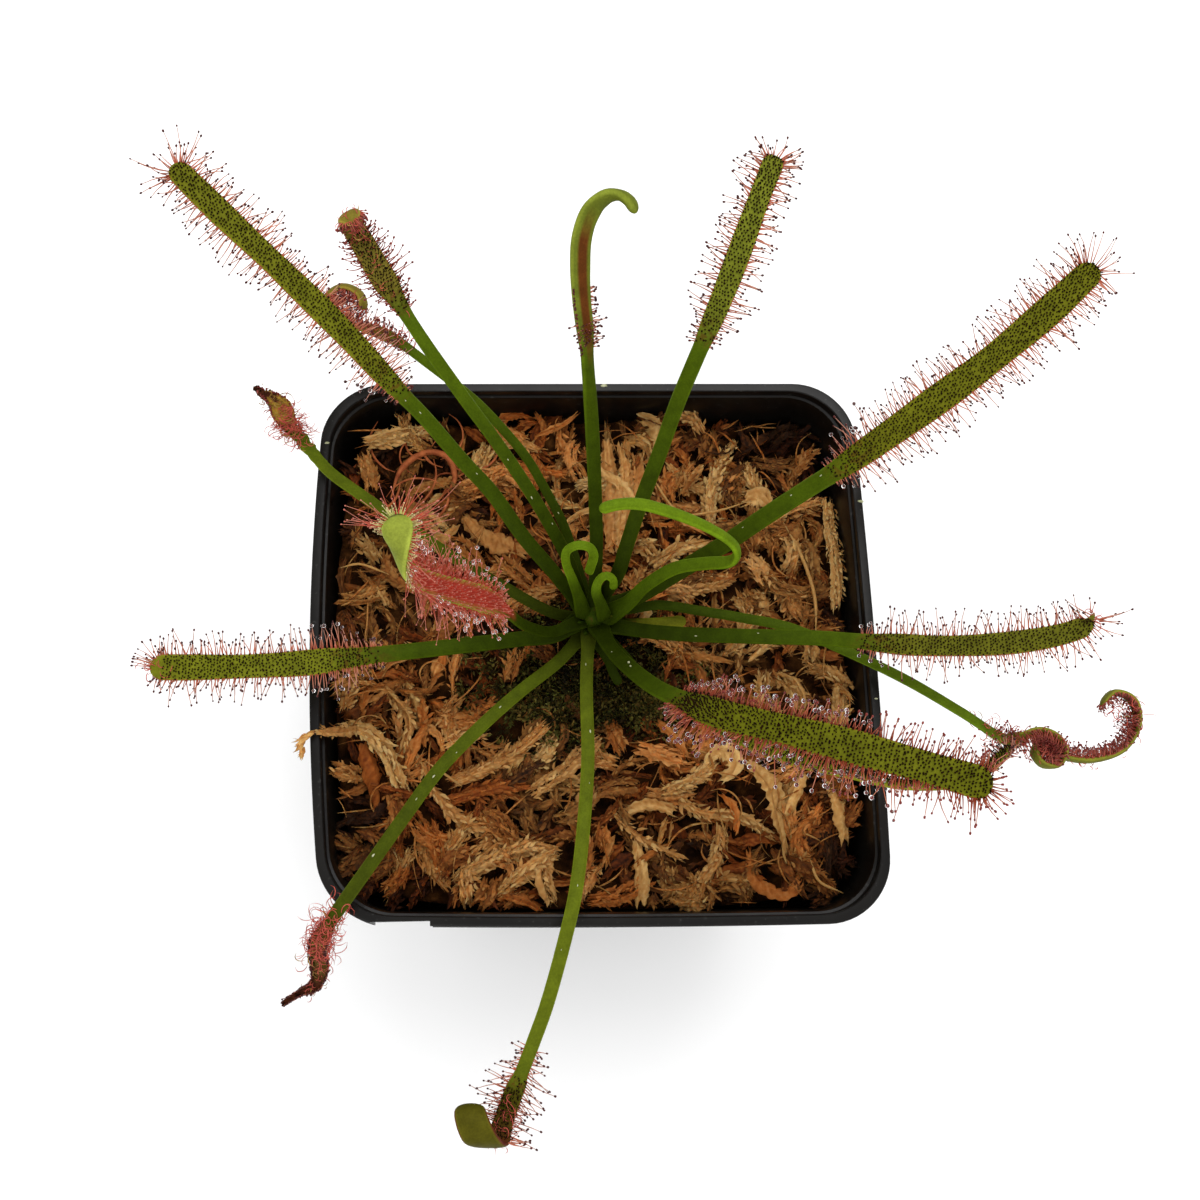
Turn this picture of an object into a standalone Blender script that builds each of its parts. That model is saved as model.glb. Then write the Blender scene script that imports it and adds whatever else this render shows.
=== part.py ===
# Potted cape sundew: a rosette of sticky leaves in sphagnum moss, in a thin square nursery pot.
# Metres, +Z up. Origin at the centre of the pot's underside, X to the right, Y to the back.
import math

import bpy
import bmesh
from mathutils import Vector

MM = 0.001

# Pot: driving dimensions in millimetres
POT_TOP = 80.0
POT_HEIGHT = 70.0
POT_BASE = 60.0
COLLAR_Z = 54.0
COLLAR_DRAFT = 0.035
SHOULDER = 1.2
WALL = 0.9
FLOOR = 1.2
LIP_WIDTH = 1.3
LIP_THICK = 0.9
SKIRT_DEPTH = 7.0
CORNER_TOP = 9.0
CORNER_TOP_INSIDE = 8.6
CORNER_BASE = 6.5
BEAD_DROP = 1.6
BEAD_STEP = 0.5
FOOT_CHAMFER = 0.8
LIP_ROUND = 0.3
LIP_DRAFT = 0.1
MIDDLE_Z = 30.0
CORNER_STEPS = 6
SIDE_STEPS = 4
HOLE_RADIUS = 4.0
HOLE_OFFSET = 17.0
NOTCH_X = (-32.3, -24.1)
NOTCH_DEPTH = 0.6
NOTCH_BOX = 6.0

# The thin rim is sprung a little out of square
BOW_LEFT = 2.1
PULL_LEFT = 0.4
BOW_RIGHT = 0.7
BOW_FRONT = 0.5
LEAN_SIDE = 0.6
LEAN_FRONT = 0.7

# Moss and stem
GAP = 0.3
MOSS_EDGE_Z = 57.5
MOSS_CENTRE_Z = 60.5
MOSS_CROWN_SPREAD = 22.0
MOSS_BUMP = 0.7
# The moss climbs towards the walls, except in two hollows: (x, y, half width, half depth, share taken away)
MOSS_BANK = {"left": 6.0, "right": 4.0, "back": 3.4, "front": 3.0}
MOSS_BANK_FROM = 18.0
MOSS_BANK_RUN = 17.0
MOSS_HOLLOWS = [(31, 29, 11, 9, 1.0), (-31, -31, 9, 7, 0.8)]
MOSS_GRID = 18
MOSS_INSET = 0.3
MOSS_CORNER = 0.085
MOSS_LEVELS = (COLLAR_Z + 1, COLLAR_Z - 1.5, 42.0, MIDDLE_Z, 15.0, FLOOR + GAP)
STEM_X = -0.6
STEM_Y = 4.2
STEM_BOTTOM_Z = 44.0
STEM_TOP_Z = 69.0
STEM_RADIUS_LOW = 2.4
STEM_RADIUS_TOP = 1.5
ROOT_RADIUS = 0.7
ROOT_ANGLES = (-70, 50, 170)
ROOT_REACH = 9.0
ROOT_DROP = 14.0
ROOT_TAPER = 0.15

# Leaf shape
RING_SIDES = 8
FINE_STEP = 0.25
RING_SPACING = 5.0
RING_TURN = math.radians(24)
BLADE_RUN = 1.2
TIP_RUN = 0.35
TIP_SHARE = 0.4
BASE_STAND_OFF = 0.75
TOP_STAND_OFF = 1.6

# Leaves. base is (angle round the stem in degrees, height). route is the middle line after the base.
# petiole and blade are (width, thickness). blade_from is where the blade starts, in route points.
# face turns the upper side: (route point, direction).
LEAVES = {
    "leaf_back_left_long": {
        "base": (140, 67.3), "petiole": (2.1, 1.3), "blade": (3.3, 1.5), "blade_from": 6,
        "route": [(-6.1, 8.8, 74), (-10.8, 13.2, 79), (-15, 18.3, 83), (-19, 22, 86), (-24, 26.6, 91),
                  (-28, 30, 94), (-34.5, 36.2, 98), (-41.5, 42.6, 101), (-48.7, 49.2, 103),
                  (-55.5, 56, 104)],
    },
    "leaf_back_left_rolled_tip": {
        "base": (118, 65.2), "petiole": (1.8, 1.2), "blade": (3.3, 1.4), "blade_from": 7,
        "route": [(-4.2, 11, 73), (-7.4, 15.2, 80), (-10.5, 19, 85), (-14.8, 24.4, 89),
                  (-18, 28, 92), (-23.5, 34.9, 96), (-27.3, 40.5, 98), (-29.2, 43.4, 99),
                  (-31.4, 47.2, 99.8), (-32.8, 49.4, 100.8), (-33, 49.8, 102.4), (-32.2, 48.4, 103.4)],
        "face": [(9, (0, 0, 1)), (11, (0.5, -0.8, -0.6))],
    },
    "leaf_back_left_coiled": {
        "base": (100, 63), "petiole": (1.4, 1.0), "blade": (2.2, 1.0), "blade_from": 9,
        "route": [(-1.9, 9.5, 65.5), (-4, 15.6, 68.5), (-5.3, 18.4, 70.5), (-7.8, 22.6, 73),
                  (-10.3, 26.4, 75), (-13.9, 30.3, 77), (-18, 34, 79), (-24, 38.3, 81),
                  (-29, 41.8, 82), (-33, 43.5, 82), (-36.4, 44.5, 82), (-38.4, 46, 82.3),
                  (-38.4, 48.2, 82.6), (-36.3, 49.6, 82.6), (-34, 48.6, 82.3), (-33.4, 46.4, 81.6)],
        "face": [(8, (0, 0, 1)), (10, (0.3, 0.8, 0.5)), (11, (0.9, 0.4, 0.3)), (12, (0.8, -0.6, 0.2)),
                 (13, (0, -1, 0.2)), (14, (-0.9, -0.6, 0.2)), (15, (-1, 0, 0.2))],
    },
    "leaf_left_withered": {
        "base": (165, 63), "petiole": (1.7, 1.1), "blade": (3.1, 1.2), "blade_from": 10,
        "route": [(-7.7, 5.8, 65.4), (-13.2, 8.5, 67.5), (-20.3, 12.2, 70), (-25.3, 15.4, 71.2),
                  (-31.7, 19.7, 72.2), (-35, 22, 72.6), (-39.2, 25.2, 73), (-42.8, 29.4, 73.8),
                  (-44.3, 30.8, 74.6), (-45.2, 32.5, 75.4), (-46.2, 34.2, 76), (-47.7, 35.3, 76.6),
                  (-49.4, 36.3, 77.2)],
    },
    "leaf_raised": {
        "base": (200, 67.3), "petiole": (1.7, 1.1), "blade": (3.6, 1.2), "blade_from": 4,
        "route": [(-7, 1.2, 71), (-10.6, 0.4, 79), (-12.4, -0.4, 89), (-14, -1, 98),
                  (-17.2, -1.6, 105), (-20.2, -2, 110.6), (-22.4, -2.2, 115.4), (-23.8, -1.7, 119.5),
                  (-24.2, -0.5, 122.8), (-24.1, 1.2, 124), (-24.1, 2.9, 123.4)],
        "face": [(0, (0.3, 0.1, 1)), (2, (1, 0, 0.3)), (4, (1, 0.1, 0.5)), (6, (0.9, 0.2, -0.2)),
                 (7, (0.9, 0.1, -0.5)), (8, (0.6, 0.1, -0.8)), (9, (0.2, 0, -1))],
    },
    "leaf_left": {
        "base": (188, 65.2), "petiole": (2.3, 1.3), "blade": (3.5, 1.4), "blade_from": 4,
        "route": [(-6.5, 1.6, 66.5), (-11.4, 0.6, 69), (-21.3, -1.5, 74), (-34.8, -3.7, 78),
                  (-41.4, -4.6, 79), (-48, -5.1, 80), (-54.8, -5.1, 79.6), (-61.6, -4.9, 79)],
    },
    "leaf_front_left_withered": {
        "base": (-130, 63), "petiole": (1.9, 1.1), "blade": (2.6, 1.2), "blade_from": 9,
        "route": [(-5.9, -2.1, 65), (-11.5, -7, 68), (-17.2, -12.5, 70.6), (-22.7, -18.5, 72.6),
                  (-27.3, -25, 74), (-31.3, -30.7, 74.2), (-34.6, -35.3, 74), (-36.7, -38.1, 73),
                  (-38.3, -40.3, 71), (-39.7, -42.6, 67), (-39.9, -45.3, 63), (-41, -47.6, 60),
                  (-43.5, -48.8, 58), (-46, -50.2, 57)],
    },
    "leaf_front_rolled_tip": {
        "base": (-105, 65.2), "petiole": (1.9, 1.2), "blade": (4.4, 1.2), "blade_from": 10.5,
        "route": [(-1.7, -3.6, 67), (-1.9, -8.5, 69), (-2, -17.5, 72), (-2.9, -27.4, 74),
                  (-4.1, -35.5, 76), (-5.7, -42, 76.3), (-8, -49.8, 75), (-9.9, -54.9, 73.5),
                  (-11.5, -58.9, 71.8), (-12.7, -61.8, 70.4), (-13.6, -64.1, 69.3), (-14.3, -66.1, 69),
                  (-15, -67.5, 69.8), (-16, -67.9, 72.2), (-17, -66.9, 74.6), (-17.9, -65.2, 75.2),
                  (-18.5, -63.5, 74.4), (-18.8, -62.9, 72.8)],
        "face": [(9, (0, 0, 1)), (11, (0, 0.2, 1)), (12, (0, 0.8, 0.7)), (13, (0, 1, 0)),
                 (14, (0, 0.7, -0.7)), (15, (0, 0, -1)), (16, (0, -0.7, -0.7)), (17, (0, -1, -0.2))],
    },
    "leaf_front_right_raised": {
        "base": (-64, 67.3), "petiole": (2.4, 1.4), "blade": (3.9, 1.5), "blade_from": 4,
        "route": [(1.6, -1.2, 71), (3.3, -4.8, 77), (6.3, -10, 88), (9.8, -13.6, 97),
                  (13.2, -16.2, 103), (20, -18.8, 108), (27.4, -21.4, 111), (34.8, -23.9, 112.5),
                  (42, -26, 112)],
        "face": [(0, (0, 0.3, 1)), (2, (-0.5, 0.6, 0.8)), (4, (-0.2, 0.2, 1)), (6, (0, 0, 1))],
    },
    "leaf_front_right_thin": {
        "base": (-42, 63), "petiole": (1.5, 1.0), "blade": (2.6, 1.1), "blade_from": 5,
        "route": [(4.2, -2.2, 67.5), (5.8, -5.4, 71), (8.6, -9, 75), (12.6, -12.4, 79),
                  (16.8, -15.4, 82), (24.4, -19, 84), (32, -21.5, 85.5), (38.5, -23, 86),
                  (45.1, -23, 86), (50.1, -21.3, 85.5), (54, -18.3, 85)],
        "face": [(4, (0, 0.2, 1)), (6, (0.2, 0.9, 0.5)), (10, (-0.6, 0.7, 0.4))],
    },
    "leaf_right": {
        "base": (-18, 65.2), "petiole": (2.2, 1.3), "blade": (3.1, 1.4), "blade_from": 5,
        "route": [(6, 2.2, 67), (11.9, 0.9, 70), (21.5, -0.4, 74), (30.9, -1.4, 77),
                  (38.7, -2.8, 80), (46.6, -3.7, 82), (54.3, -3.9, 84), (61, -3.2, 85),
                  (65.4, -2, 86), (66.6, -0.4, 87)],
    },
    "leaf_right_curled": {
        "base": (40, 63), "petiole": (1.5, 1.1), "blade": (2.6, 1.0), "blade_from": 9,
        "route": [(4.8, 5.9, 64.6), (9.5, 6.1, 66.4), (15.2, 4.8, 68), (21, 3.4, 69.4),
                  (27.9, 1.4, 71.2), (36, -2.8, 73.2), (43.5, -7.1, 74.6), (51, -11.9, 75),
                  (56.8, -15.8, 75), (59.3, -15.6, 75.6), (61.4, -14.9, 76), (63.6, -15.6, 76),
                  (65, -17.4, 75.4), (64.4, -19.4, 74.6), (62.4, -19.2, 73.8), (61.7, -17.2, 73.1),
                  (63.2, -16.2, 72.2), (66.4, -17.8, 71), (70.9, -18.4, 70.4), (75.6, -17, 70.4),
                  (78, -13.4, 71), (77.3, -10, 71.8), (74.4, -9, 72.4), (72.3, -10.8, 72.8)],
        "face": [(6, (0, 0, 1)), (8, (0, 0.6, 0.9)), (9, (0.1, -0.9, 0.4)), (10, (0, -1, 0.2)),
                 (11, (-0.5, -1, 0.1)), (12, (-1, 0, 0.1)), (13, (-0.6, 0.9, 0)), (14, (0.7, 0.8, 0)),
                 (15, (1, -0.4, 0)), (16, (0.6, 0.9, 0)), (17, (0.4, 1, 0)), (18, (0, 1, 0)),
                 (19, (-0.5, 0.9, 0)), (20, (-1, 0.2, 0)), (21, (-0.6, -1, 0)), (22, (0.2, -1, 0)),
                 (23, (0.9, -0.6, 0))],
    },
    "leaf_back_right": {
        "base": (48, 65.2), "petiole": (2.6, 1.4), "blade": (4.0, 1.5), "blade_from": 6,
        "route": [(5.4, 7, 67.4), (11.6, 9.7, 72), (17.7, 12.3, 77.4), (23.3, 15.1, 82.6),
                  (28.3, 17.5, 87), (33.1, 19.8, 91), (42.7, 25.8, 95), (50.8, 31.3, 97.5),
                  (59, 37.8, 99), (66.4, 44.4, 100)],
    },
    "leaf_back": {
        "base": (72, 67.3), "petiole": (2.1, 1.3), "blade": (2.9, 1.4), "blade_from": 7,
        "route": [(2.6, 8.8, 74), (3.8, 12, 79), (5.6, 16.8, 85), (7.7, 21.6, 91),
                  (9.5, 26, 97), (11.3, 29.5, 103), (12.5, 31.8, 106), (14.3, 35.6, 109),
                  (16.2, 40.2, 111), (18.5, 46.2, 112), (21.3, 53.2, 112)],
    },
    "leaf_back_hooked": {
        "base": (88, 69.4), "petiole": (1.9, 1.5), "blade": (2.6, 1.9), "blade_from": 6,
        "route": [(-0.4, 11.7, 76), (-0.7, 16.5, 82), (-1.1, 20, 88), (-1.8, 25, 97),
                  (-2.4, 27.8, 104), (-2.8, 30, 108.5), (-3.4, 33.5, 112), (-3.6, 36.7, 114),
                  (-3.4, 40, 115), (-2.4, 42.8, 116), (-0.5, 44.8, 116), (1.7, 45.4, 115),
                  (3.4, 44.5, 113.4)],
        "face": [(2, (0.1, -0.4, 1)), (4, (0.7, 0, 0.7)), (7, (0.8, 0, 0.5)), (8, (1, -0.2, -0.2)),
                 (10, (0.7, -0.3, -0.7)), (11, (0.2, -0.6, -0.8)), (12, (-0.3, -0.6, -0.8))],
    },
    "leaf_young_arched": {
        "base": (8, 67.3), "petiole": (1.9, 1.4), "blade": (1.7, 1.4), "blade_from": 5,
        "route": [(4.2, 5.3, 71), (6.7, 7, 75), (10.4, 8.4, 79), (14.2, 8.3, 82),
                  (17.1, 7.8, 84.6), (18, 8.2, 86.2), (17.6, 9, 88), (16, 9.9, 89.6),
                  (12.9, 11, 91.6), (8.8, 12.2, 93.2), (4.7, 13, 94.4), (1.6, 12.9, 94.8),
                  (-0.9, 12.2, 94.8)],
        "face": [(3, (0, 0, 1)), (5, (-0.9, 0.3, 0.4)), (7, (-0.5, -0.4, -0.8)), (12, (0, -0.2, -1))],
    },
    "crozier_left": {
        "base": (175, 69.5), "petiole": (1.4, 1.2), "blade": (1.3, 1.1), "blade_from": 2,
        "route": [(-2.9, 5.8, 73), (-4, 7.6, 77), (-4.9, 9, 80.4), (-4.8, 10.1, 82.6),
                  (-3.4, 10.6, 83.6), (-1.8, 10.4, 83.4), (-1.1, 9.6, 82), (-1.4, 8.7, 79.6),
                  (-1.7, 8.1, 77.6)],
    },
    "crozier_centre": {
        "base": (-20, 69.5), "petiole": (1.3, 1.1), "blade": (1.2, 1.1), "blade_from": 2,
        "route": [(0.2, 5, 72.4), (-0.5, 6.3, 74.6), (-0.1, 7.5, 76.2), (0.9, 8, 76.9), (1.9, 7.6, 76.1),
                  (2, 6.6, 74.4)],
    },
    "petiole_stub_right": {
        "base": (0, 63), "petiole": (1.8, 1.0), "blade": (1.9, 1.0), "blade_from": 1,
        "route": [(5.4, 3.7, 63.9), (9.4, 3.6, 64.8), (13.4, 3.9, 65.4)],
    },
    "petiole_stub_front": {
        "base": (-80, 63), "petiole": (1.4, 1.0), "blade": (1.3, 0.9), "blade_from": 1,
        "route": [(1.7, -1.6, 63.4), (2.4, -3.6, 63.8), (3.3, -5.4, 64)],
    },
}

# Loose sphagnum strands that lie on the moss: middle line over the moss, heights above it
STRANDS = {
    "moss_strand_back": [(12, 30, 1.0), (15, 27, 1.7), (20, 25.5, 1.0), (24, 26, 1.0)],
    "moss_strand_back_left": [(-17, 31, 1.0), (-12.5, 33, 1.8), (-8, 32, 1.0)],
    "moss_strand_right": [(25, 16, 1.0), (28, 10, 1.7), (30, 5, 1.0)],
    "moss_strand_front_right": [(10, -20, 1.0), (15, -24, 1.8), (21, -25, 1.0), (26, -28, 1.0)],
    "moss_strand_front": [(2, -24, 1.0), (6, -28, 1.8), (12, -31, 1.0)],
    "moss_strand_front_left": [(-26, -16, 1.0), (-24, -21, 1.7), (-19, -26, 1.0), (-14, -27, 1.0)],
    "moss_strand_left": [(-31, -6, 1.0), (-28, -10, 1.7), (-29, -15, 1.0)],
}
STRAND_SIZE = (2.0, 0.9)
RIM_STRAND = [(-34.6, -11, 64.6), (-36.4, -12, 66.8), (-38.3, -12.6, 69.9), (-40.2, -12.9, 71.4),
              (-41.8, -14, 71.3), (-42.2, -16, 71.2)]
DEAD_LEAF = [(-31, 24, 0.9), (-29.5, 28.5, 1.7), (-26, 31.5, 1.2), (-22.5, 31, 0.9), (-21.5, 27.5, 1.0),
             (-24, 24.5, 1.0)]
DEAD_LEAF_SIZE = (1.3, 0.8)
CUSHION_CENTRE = (-1.0, -7.2)
CUSHION_HALF = (11.0, 3.6)
# Share of the half width and height over the moss, from the middle of the underside to the top
CUSHION_PROFILE = [(0.3, 0.5), (0.65, 0.5), (1.0, 0.5), (1.0, 0.9), (0.85, 1.4), (0.6, 1.8), (0.3, 2.0)]


def clear_scene():
    for thing in list(bpy.data.objects):
        bpy.data.objects.remove(thing, do_unlink=True)


def new_collection(name):
    group = bpy.data.collections.new(name)
    bpy.context.scene.collection.children.link(group)
    return group


def material(name, colour, roughness, metallic=0.0):
    made = bpy.data.materials.new(name)
    made.use_nodes = True
    shader = made.node_tree.nodes["Principled BSDF"]
    shader.inputs["Base Color"].default_value = (*colour, 1.0)
    shader.inputs["Roughness"].default_value = roughness
    shader.inputs["Metallic"].default_value = metallic
    made.diffuse_color = (*colour, 1.0)
    return made


def add_object(name, mesh, group, surface=None):
    thing = bpy.data.objects.new(name, mesh)
    group.objects.link(thing)
    if surface:
        mesh.materials.append(surface)
    return thing


def mesh_from_rings(name, rings):
    """One closed body through rings with the same number of points, with flat ends."""
    shape = bmesh.new()
    loops = [[shape.verts.new(Vector(point) * MM) for point in ring] for ring in rings]
    count = len(rings[0])
    for low, high in zip(loops, loops[1:]):
        for i in range(count):
            j = (i + 1) % count
            shape.faces.new((low[i], low[j], high[j], high[i]))
    shape.faces.new(list(reversed(loops[0])))
    shape.faces.new(loops[-1])
    bmesh.ops.recalc_face_normals(shape, faces=shape.faces)
    mesh = bpy.data.meshes.new(name)
    shape.to_mesh(mesh)
    shape.free()
    mesh.shade_smooth()
    mesh.set_sharp_from_angle(angle=math.radians(40))
    return mesh


def sprung(x, y, z):
    """A point of the square pot, moved with its thin walls: they bow more towards the rim."""
    half = POT_TOP / 2
    along_x = x / half
    along_y = y / half
    rise = (z / POT_HEIGHT) ** 2
    bow = BOW_RIGHT if x > 0 else BOW_LEFT
    across = bow * along_x * abs(along_x) * (1 - along_y**2) - LEAN_SIDE * along_y * abs(along_x)
    if x < 0:
        across += PULL_LEFT * abs(along_x)
    front = 0.0
    if y < 0:
        front = -BOW_FRONT * along_y**2 * (1 - along_x**2) + LEAN_FRONT * along_x * along_y
    return (x + rise * across, y + rise * front, z)


def square_ring(half, corner, z):
    """Points round a square with round corners, anticlockwise, sprung like the pot."""
    points = []
    for quarter in range(4):
        turn = quarter * math.pi / 2
        middle = half - corner
        for step in range(CORNER_STEPS + 1):
            angle = step * math.pi / 2 / CORNER_STEPS
            local = (middle + corner * math.cos(angle), middle + corner * math.sin(angle))
            points.append(local + (turn,))
        for step in range(1, SIDE_STEPS):
            slide = middle * (1 - 2 * step / SIDE_STEPS)
            points.append((slide, half, turn))
    ring = []
    for x, y, turn in points:
        around_x = x * math.cos(turn) - y * math.sin(turn)
        around_y = x * math.sin(turn) + y * math.cos(turn)
        ring.append(sprung(around_x, around_y, z))
    return ring


def wall_half(z):
    """Half width of the wall's outer face: a steep collar under the lip, a shoulder, then the taper."""
    collar_top = POT_TOP / 2 - LIP_WIDTH - BEAD_STEP + WALL
    if z >= COLLAR_Z:
        return collar_top - COLLAR_DRAFT * (POT_HEIGHT - z)
    taper_top = collar_top - COLLAR_DRAFT * (POT_HEIGHT - COLLAR_Z) - SHOULDER
    return POT_BASE / 2 + (taper_top - POT_BASE / 2) * z / COLLAR_Z


def corner_at(z):
    return CORNER_BASE + (CORNER_TOP_INSIDE - CORNER_BASE) * z / POT_HEIGHT


def make_pot(group, cutters, surface):
    half = POT_TOP / 2
    under_lip = POT_HEIGHT - LIP_THICK
    inside_top = half - LIP_WIDTH
    bead_z = POT_HEIGHT - BEAD_DROP
    shoulder_z = COLLAR_Z - 1.0
    outline = [
        (wall_half(0) - FOOT_CHAMFER, CORNER_BASE - FOOT_CHAMFER, 0.0),
        (wall_half(FOOT_CHAMFER), CORNER_BASE, FOOT_CHAMFER),
        (wall_half(MIDDLE_Z), corner_at(MIDDLE_Z), MIDDLE_Z),
        (wall_half(shoulder_z), corner_at(shoulder_z), shoulder_z),
        (wall_half(COLLAR_Z), corner_at(COLLAR_Z), COLLAR_Z),
        (wall_half(under_lip), corner_at(under_lip), under_lip),
        (half - WALL, CORNER_TOP - WALL, under_lip),
        (half - WALL + LIP_DRAFT, CORNER_TOP - WALL, POT_HEIGHT - SKIRT_DEPTH),
        (half + LIP_DRAFT, CORNER_TOP, POT_HEIGHT - SKIRT_DEPTH),
        (half, CORNER_TOP, POT_HEIGHT - LIP_ROUND),
        (half - LIP_ROUND, CORNER_TOP - LIP_ROUND, POT_HEIGHT),
        (inside_top, CORNER_TOP_INSIDE, POT_HEIGHT),
        (inside_top - LIP_DRAFT, CORNER_TOP_INSIDE, bead_z),
        (inside_top - BEAD_STEP, CORNER_TOP_INSIDE, bead_z - LIP_ROUND),
        (wall_half(COLLAR_Z) - WALL, corner_at(COLLAR_Z) - WALL / 2, COLLAR_Z),
        (wall_half(shoulder_z) - WALL, corner_at(shoulder_z) - WALL / 2, shoulder_z),
        (wall_half(MIDDLE_Z) - WALL, corner_at(MIDDLE_Z) - WALL / 2, MIDDLE_Z),
        (wall_half(FLOOR) - WALL, CORNER_BASE - WALL, FLOOR),
    ]
    rings = [square_ring(*row) for row in outline]
    pot = add_object("pot", mesh_from_rings("pot", rings), group, surface)
    for index, (side_x, side_y) in enumerate([(1, 1), (-1, 1), (-1, -1), (1, -1)]):
        bpy.ops.mesh.primitive_cylinder_add(
            vertices=16, radius=HOLE_RADIUS * MM, depth=6 * MM,
            location=(side_x * HOLE_OFFSET * MM, side_y * HOLE_OFFSET * MM, 0))
        hole = bpy.context.object
        hole.name = f"drain_hole_{index + 1}"
        cut(pot, hole, cutters)
    low, high = NOTCH_X
    middle = (low + high) / 2
    inner_y = sprung(middle, -half, POT_HEIGHT)[1] + NOTCH_DEPTH
    bpy.ops.mesh.primitive_cube_add(
        size=1, location=(middle * MM, (inner_y - NOTCH_BOX / 2) * MM, (POT_HEIGHT - 3) * MM))
    notch = bpy.context.object
    notch.name = "lip_notch"
    notch.scale = ((high - low) * MM, NOTCH_BOX * MM, 2 * NOTCH_BOX * MM)
    cut(pot, notch, cutters)
    return pot


def cut(thing, cutter, cutters):
    for owner in list(cutter.users_collection):
        owner.objects.unlink(cutter)
    cutters.objects.link(cutter)
    cutter.hide_render = True
    cutter.display_type = "WIRE"
    boolean = thing.modifiers.new(cutter.name, "BOOLEAN")
    boolean.operation = "DIFFERENCE"
    boolean.object = cutter


def moss_bank(x, y):
    """How much the moss climbs near the walls."""
    rise = 0.0
    for side, distance in (("left", -x), ("right", x), ("back", y), ("front", -y)):
        climb = max(0.0, (distance - MOSS_BANK_FROM) / MOSS_BANK_RUN) ** 1.5
        rise = max(rise, MOSS_BANK[side] * climb)
    for middle_x, middle_y, half_x, half_y, share in MOSS_HOLLOWS:
        near = math.exp(-(((x - middle_x) / half_x) ** 2 + ((y - middle_y) / half_y) ** 2))
        rise *= 1 - share * near
    return rise


def moss_top(x, y):
    """Height of the firm moss, higher round the crown and at the walls, and lumpy all over."""
    away = math.hypot(x - STEM_X, y - STEM_Y)
    dome = (MOSS_CENTRE_Z - MOSS_EDGE_Z) * math.exp(-((away / MOSS_CROWN_SPREAD) ** 2))
    lumps = math.sin(0.31 * x + 0.9) * math.cos(0.27 * y) + 0.6 * math.sin(0.47 * x - 0.39 * y)
    return MOSS_EDGE_Z + dome + MOSS_BUMP * lumps * min(1.0, away / 10) + moss_bank(x, y)


def moss_half(z):
    """Half width of the moss inside the wall at a height."""
    return wall_half(z) - WALL - GAP - MOSS_INSET


def moss_spot(u, v, z):
    """A point of the moss block; u and v run from -1 to 1 and the corners are rounded off."""
    squeeze = 1 - MOSS_CORNER * (abs(u) * abs(v)) ** 3
    x, y, _ = sprung(u * moss_half(z) * squeeze, v * moss_half(z) * squeeze, z)
    return x, y


def make_moss_bed(group, cutters, surface, plugs):
    """The moss fills the pot: a block whose top is pushed up and down by moss_top."""
    shape = bmesh.new()
    cells = MOSS_GRID + 1
    rows = []
    for i in range(cells):
        row = []
        for j in range(cells):
            u, v = 2 * i / MOSS_GRID - 1, 2 * j / MOSS_GRID - 1
            x, y = moss_spot(u, v, MOSS_EDGE_Z)
            x, y = moss_spot(u, v, moss_top(x, y))
            row.append(shape.verts.new(Vector((x, y, moss_top(x, y))) * MM))
        rows.append(row)
    for i in range(MOSS_GRID):
        for j in range(MOSS_GRID):
            shape.faces.new((rows[i][j], rows[i + 1][j], rows[i + 1][j + 1], rows[i][j + 1]))
    edge = [(i, 0) for i in range(MOSS_GRID)] + [(MOSS_GRID, j) for j in range(MOSS_GRID)]
    edge += [(MOSS_GRID - i, MOSS_GRID) for i in range(MOSS_GRID)]
    edge += [(0, MOSS_GRID - j) for j in range(MOSS_GRID)]
    above = [rows[i][j] for i, j in edge]
    for level in MOSS_LEVELS:
        below = []
        for i, j in edge:
            x, y = moss_spot(2 * i / MOSS_GRID - 1, 2 * j / MOSS_GRID - 1, level)
            below.append(shape.verts.new(Vector((x, y, level)) * MM))
        for k in range(len(edge)):
            after = (k + 1) % len(edge)
            shape.faces.new((above[k], below[k], below[after], above[after]))
        above = below
    shape.faces.new(above)
    bmesh.ops.recalc_face_normals(shape, faces=shape.faces)
    mesh = bpy.data.meshes.new("moss_bed")
    shape.to_mesh(mesh)
    shape.free()
    mesh.shade_smooth()
    moss = add_object("moss_bed", mesh, group, surface)
    for plug in plugs:
        cut(moss, plug, cutters)
    return moss


def stem_radius(z):
    share = (z - STEM_BOTTOM_Z) / (STEM_TOP_Z - STEM_BOTTOM_Z)
    return STEM_RADIUS_LOW + (STEM_RADIUS_TOP - STEM_RADIUS_LOW) * max(0.0, share) ** 2


def round_ring(centre, radius, z, sides=12):
    return [(centre[0] + radius * math.cos(2 * math.pi * i / sides),
             centre[1] + radius * math.sin(2 * math.pi * i / sides), z) for i in range(sides)]


def stem_rings(extra):
    heights = [STEM_BOTTOM_Z - extra, 52, 58, 62, 66, STEM_TOP_Z - 0.5]
    rings = [round_ring((STEM_X, STEM_Y), stem_radius(z) + extra, z) for z in heights]
    if extra == 0:
        rings.append(round_ring((STEM_X, STEM_Y), STEM_RADIUS_TOP - 0.5, STEM_TOP_Z))
    else:
        rings.append(round_ring((STEM_X, STEM_Y), STEM_RADIUS_LOW + extra, STEM_TOP_Z))
    return rings


def root_line(angle):
    turn = math.radians(angle)
    points = []
    for share in (-0.1, 0.35, 0.7, 1.0):
        out = ROOT_REACH * share**2 if share > 0 else 0.0
        drop = STEM_BOTTOM_Z + 2 - ROOT_DROP * share
        points.append((STEM_X + out * math.cos(turn), STEM_Y + out * math.sin(turn), drop))
    return points


def root_rings(angle, extra):
    line = root_line(angle)
    rings = []
    for index, point in enumerate(line):
        radius = ROOT_RADIUS * (1 - ROOT_TAPER * index) + extra
        rings.append(round_ring(point, radius, point[2], 6))
    if extra:
        rings.append(round_ring(line[-1], radius, line[-1][2] - extra, 6))
    return rings


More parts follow.
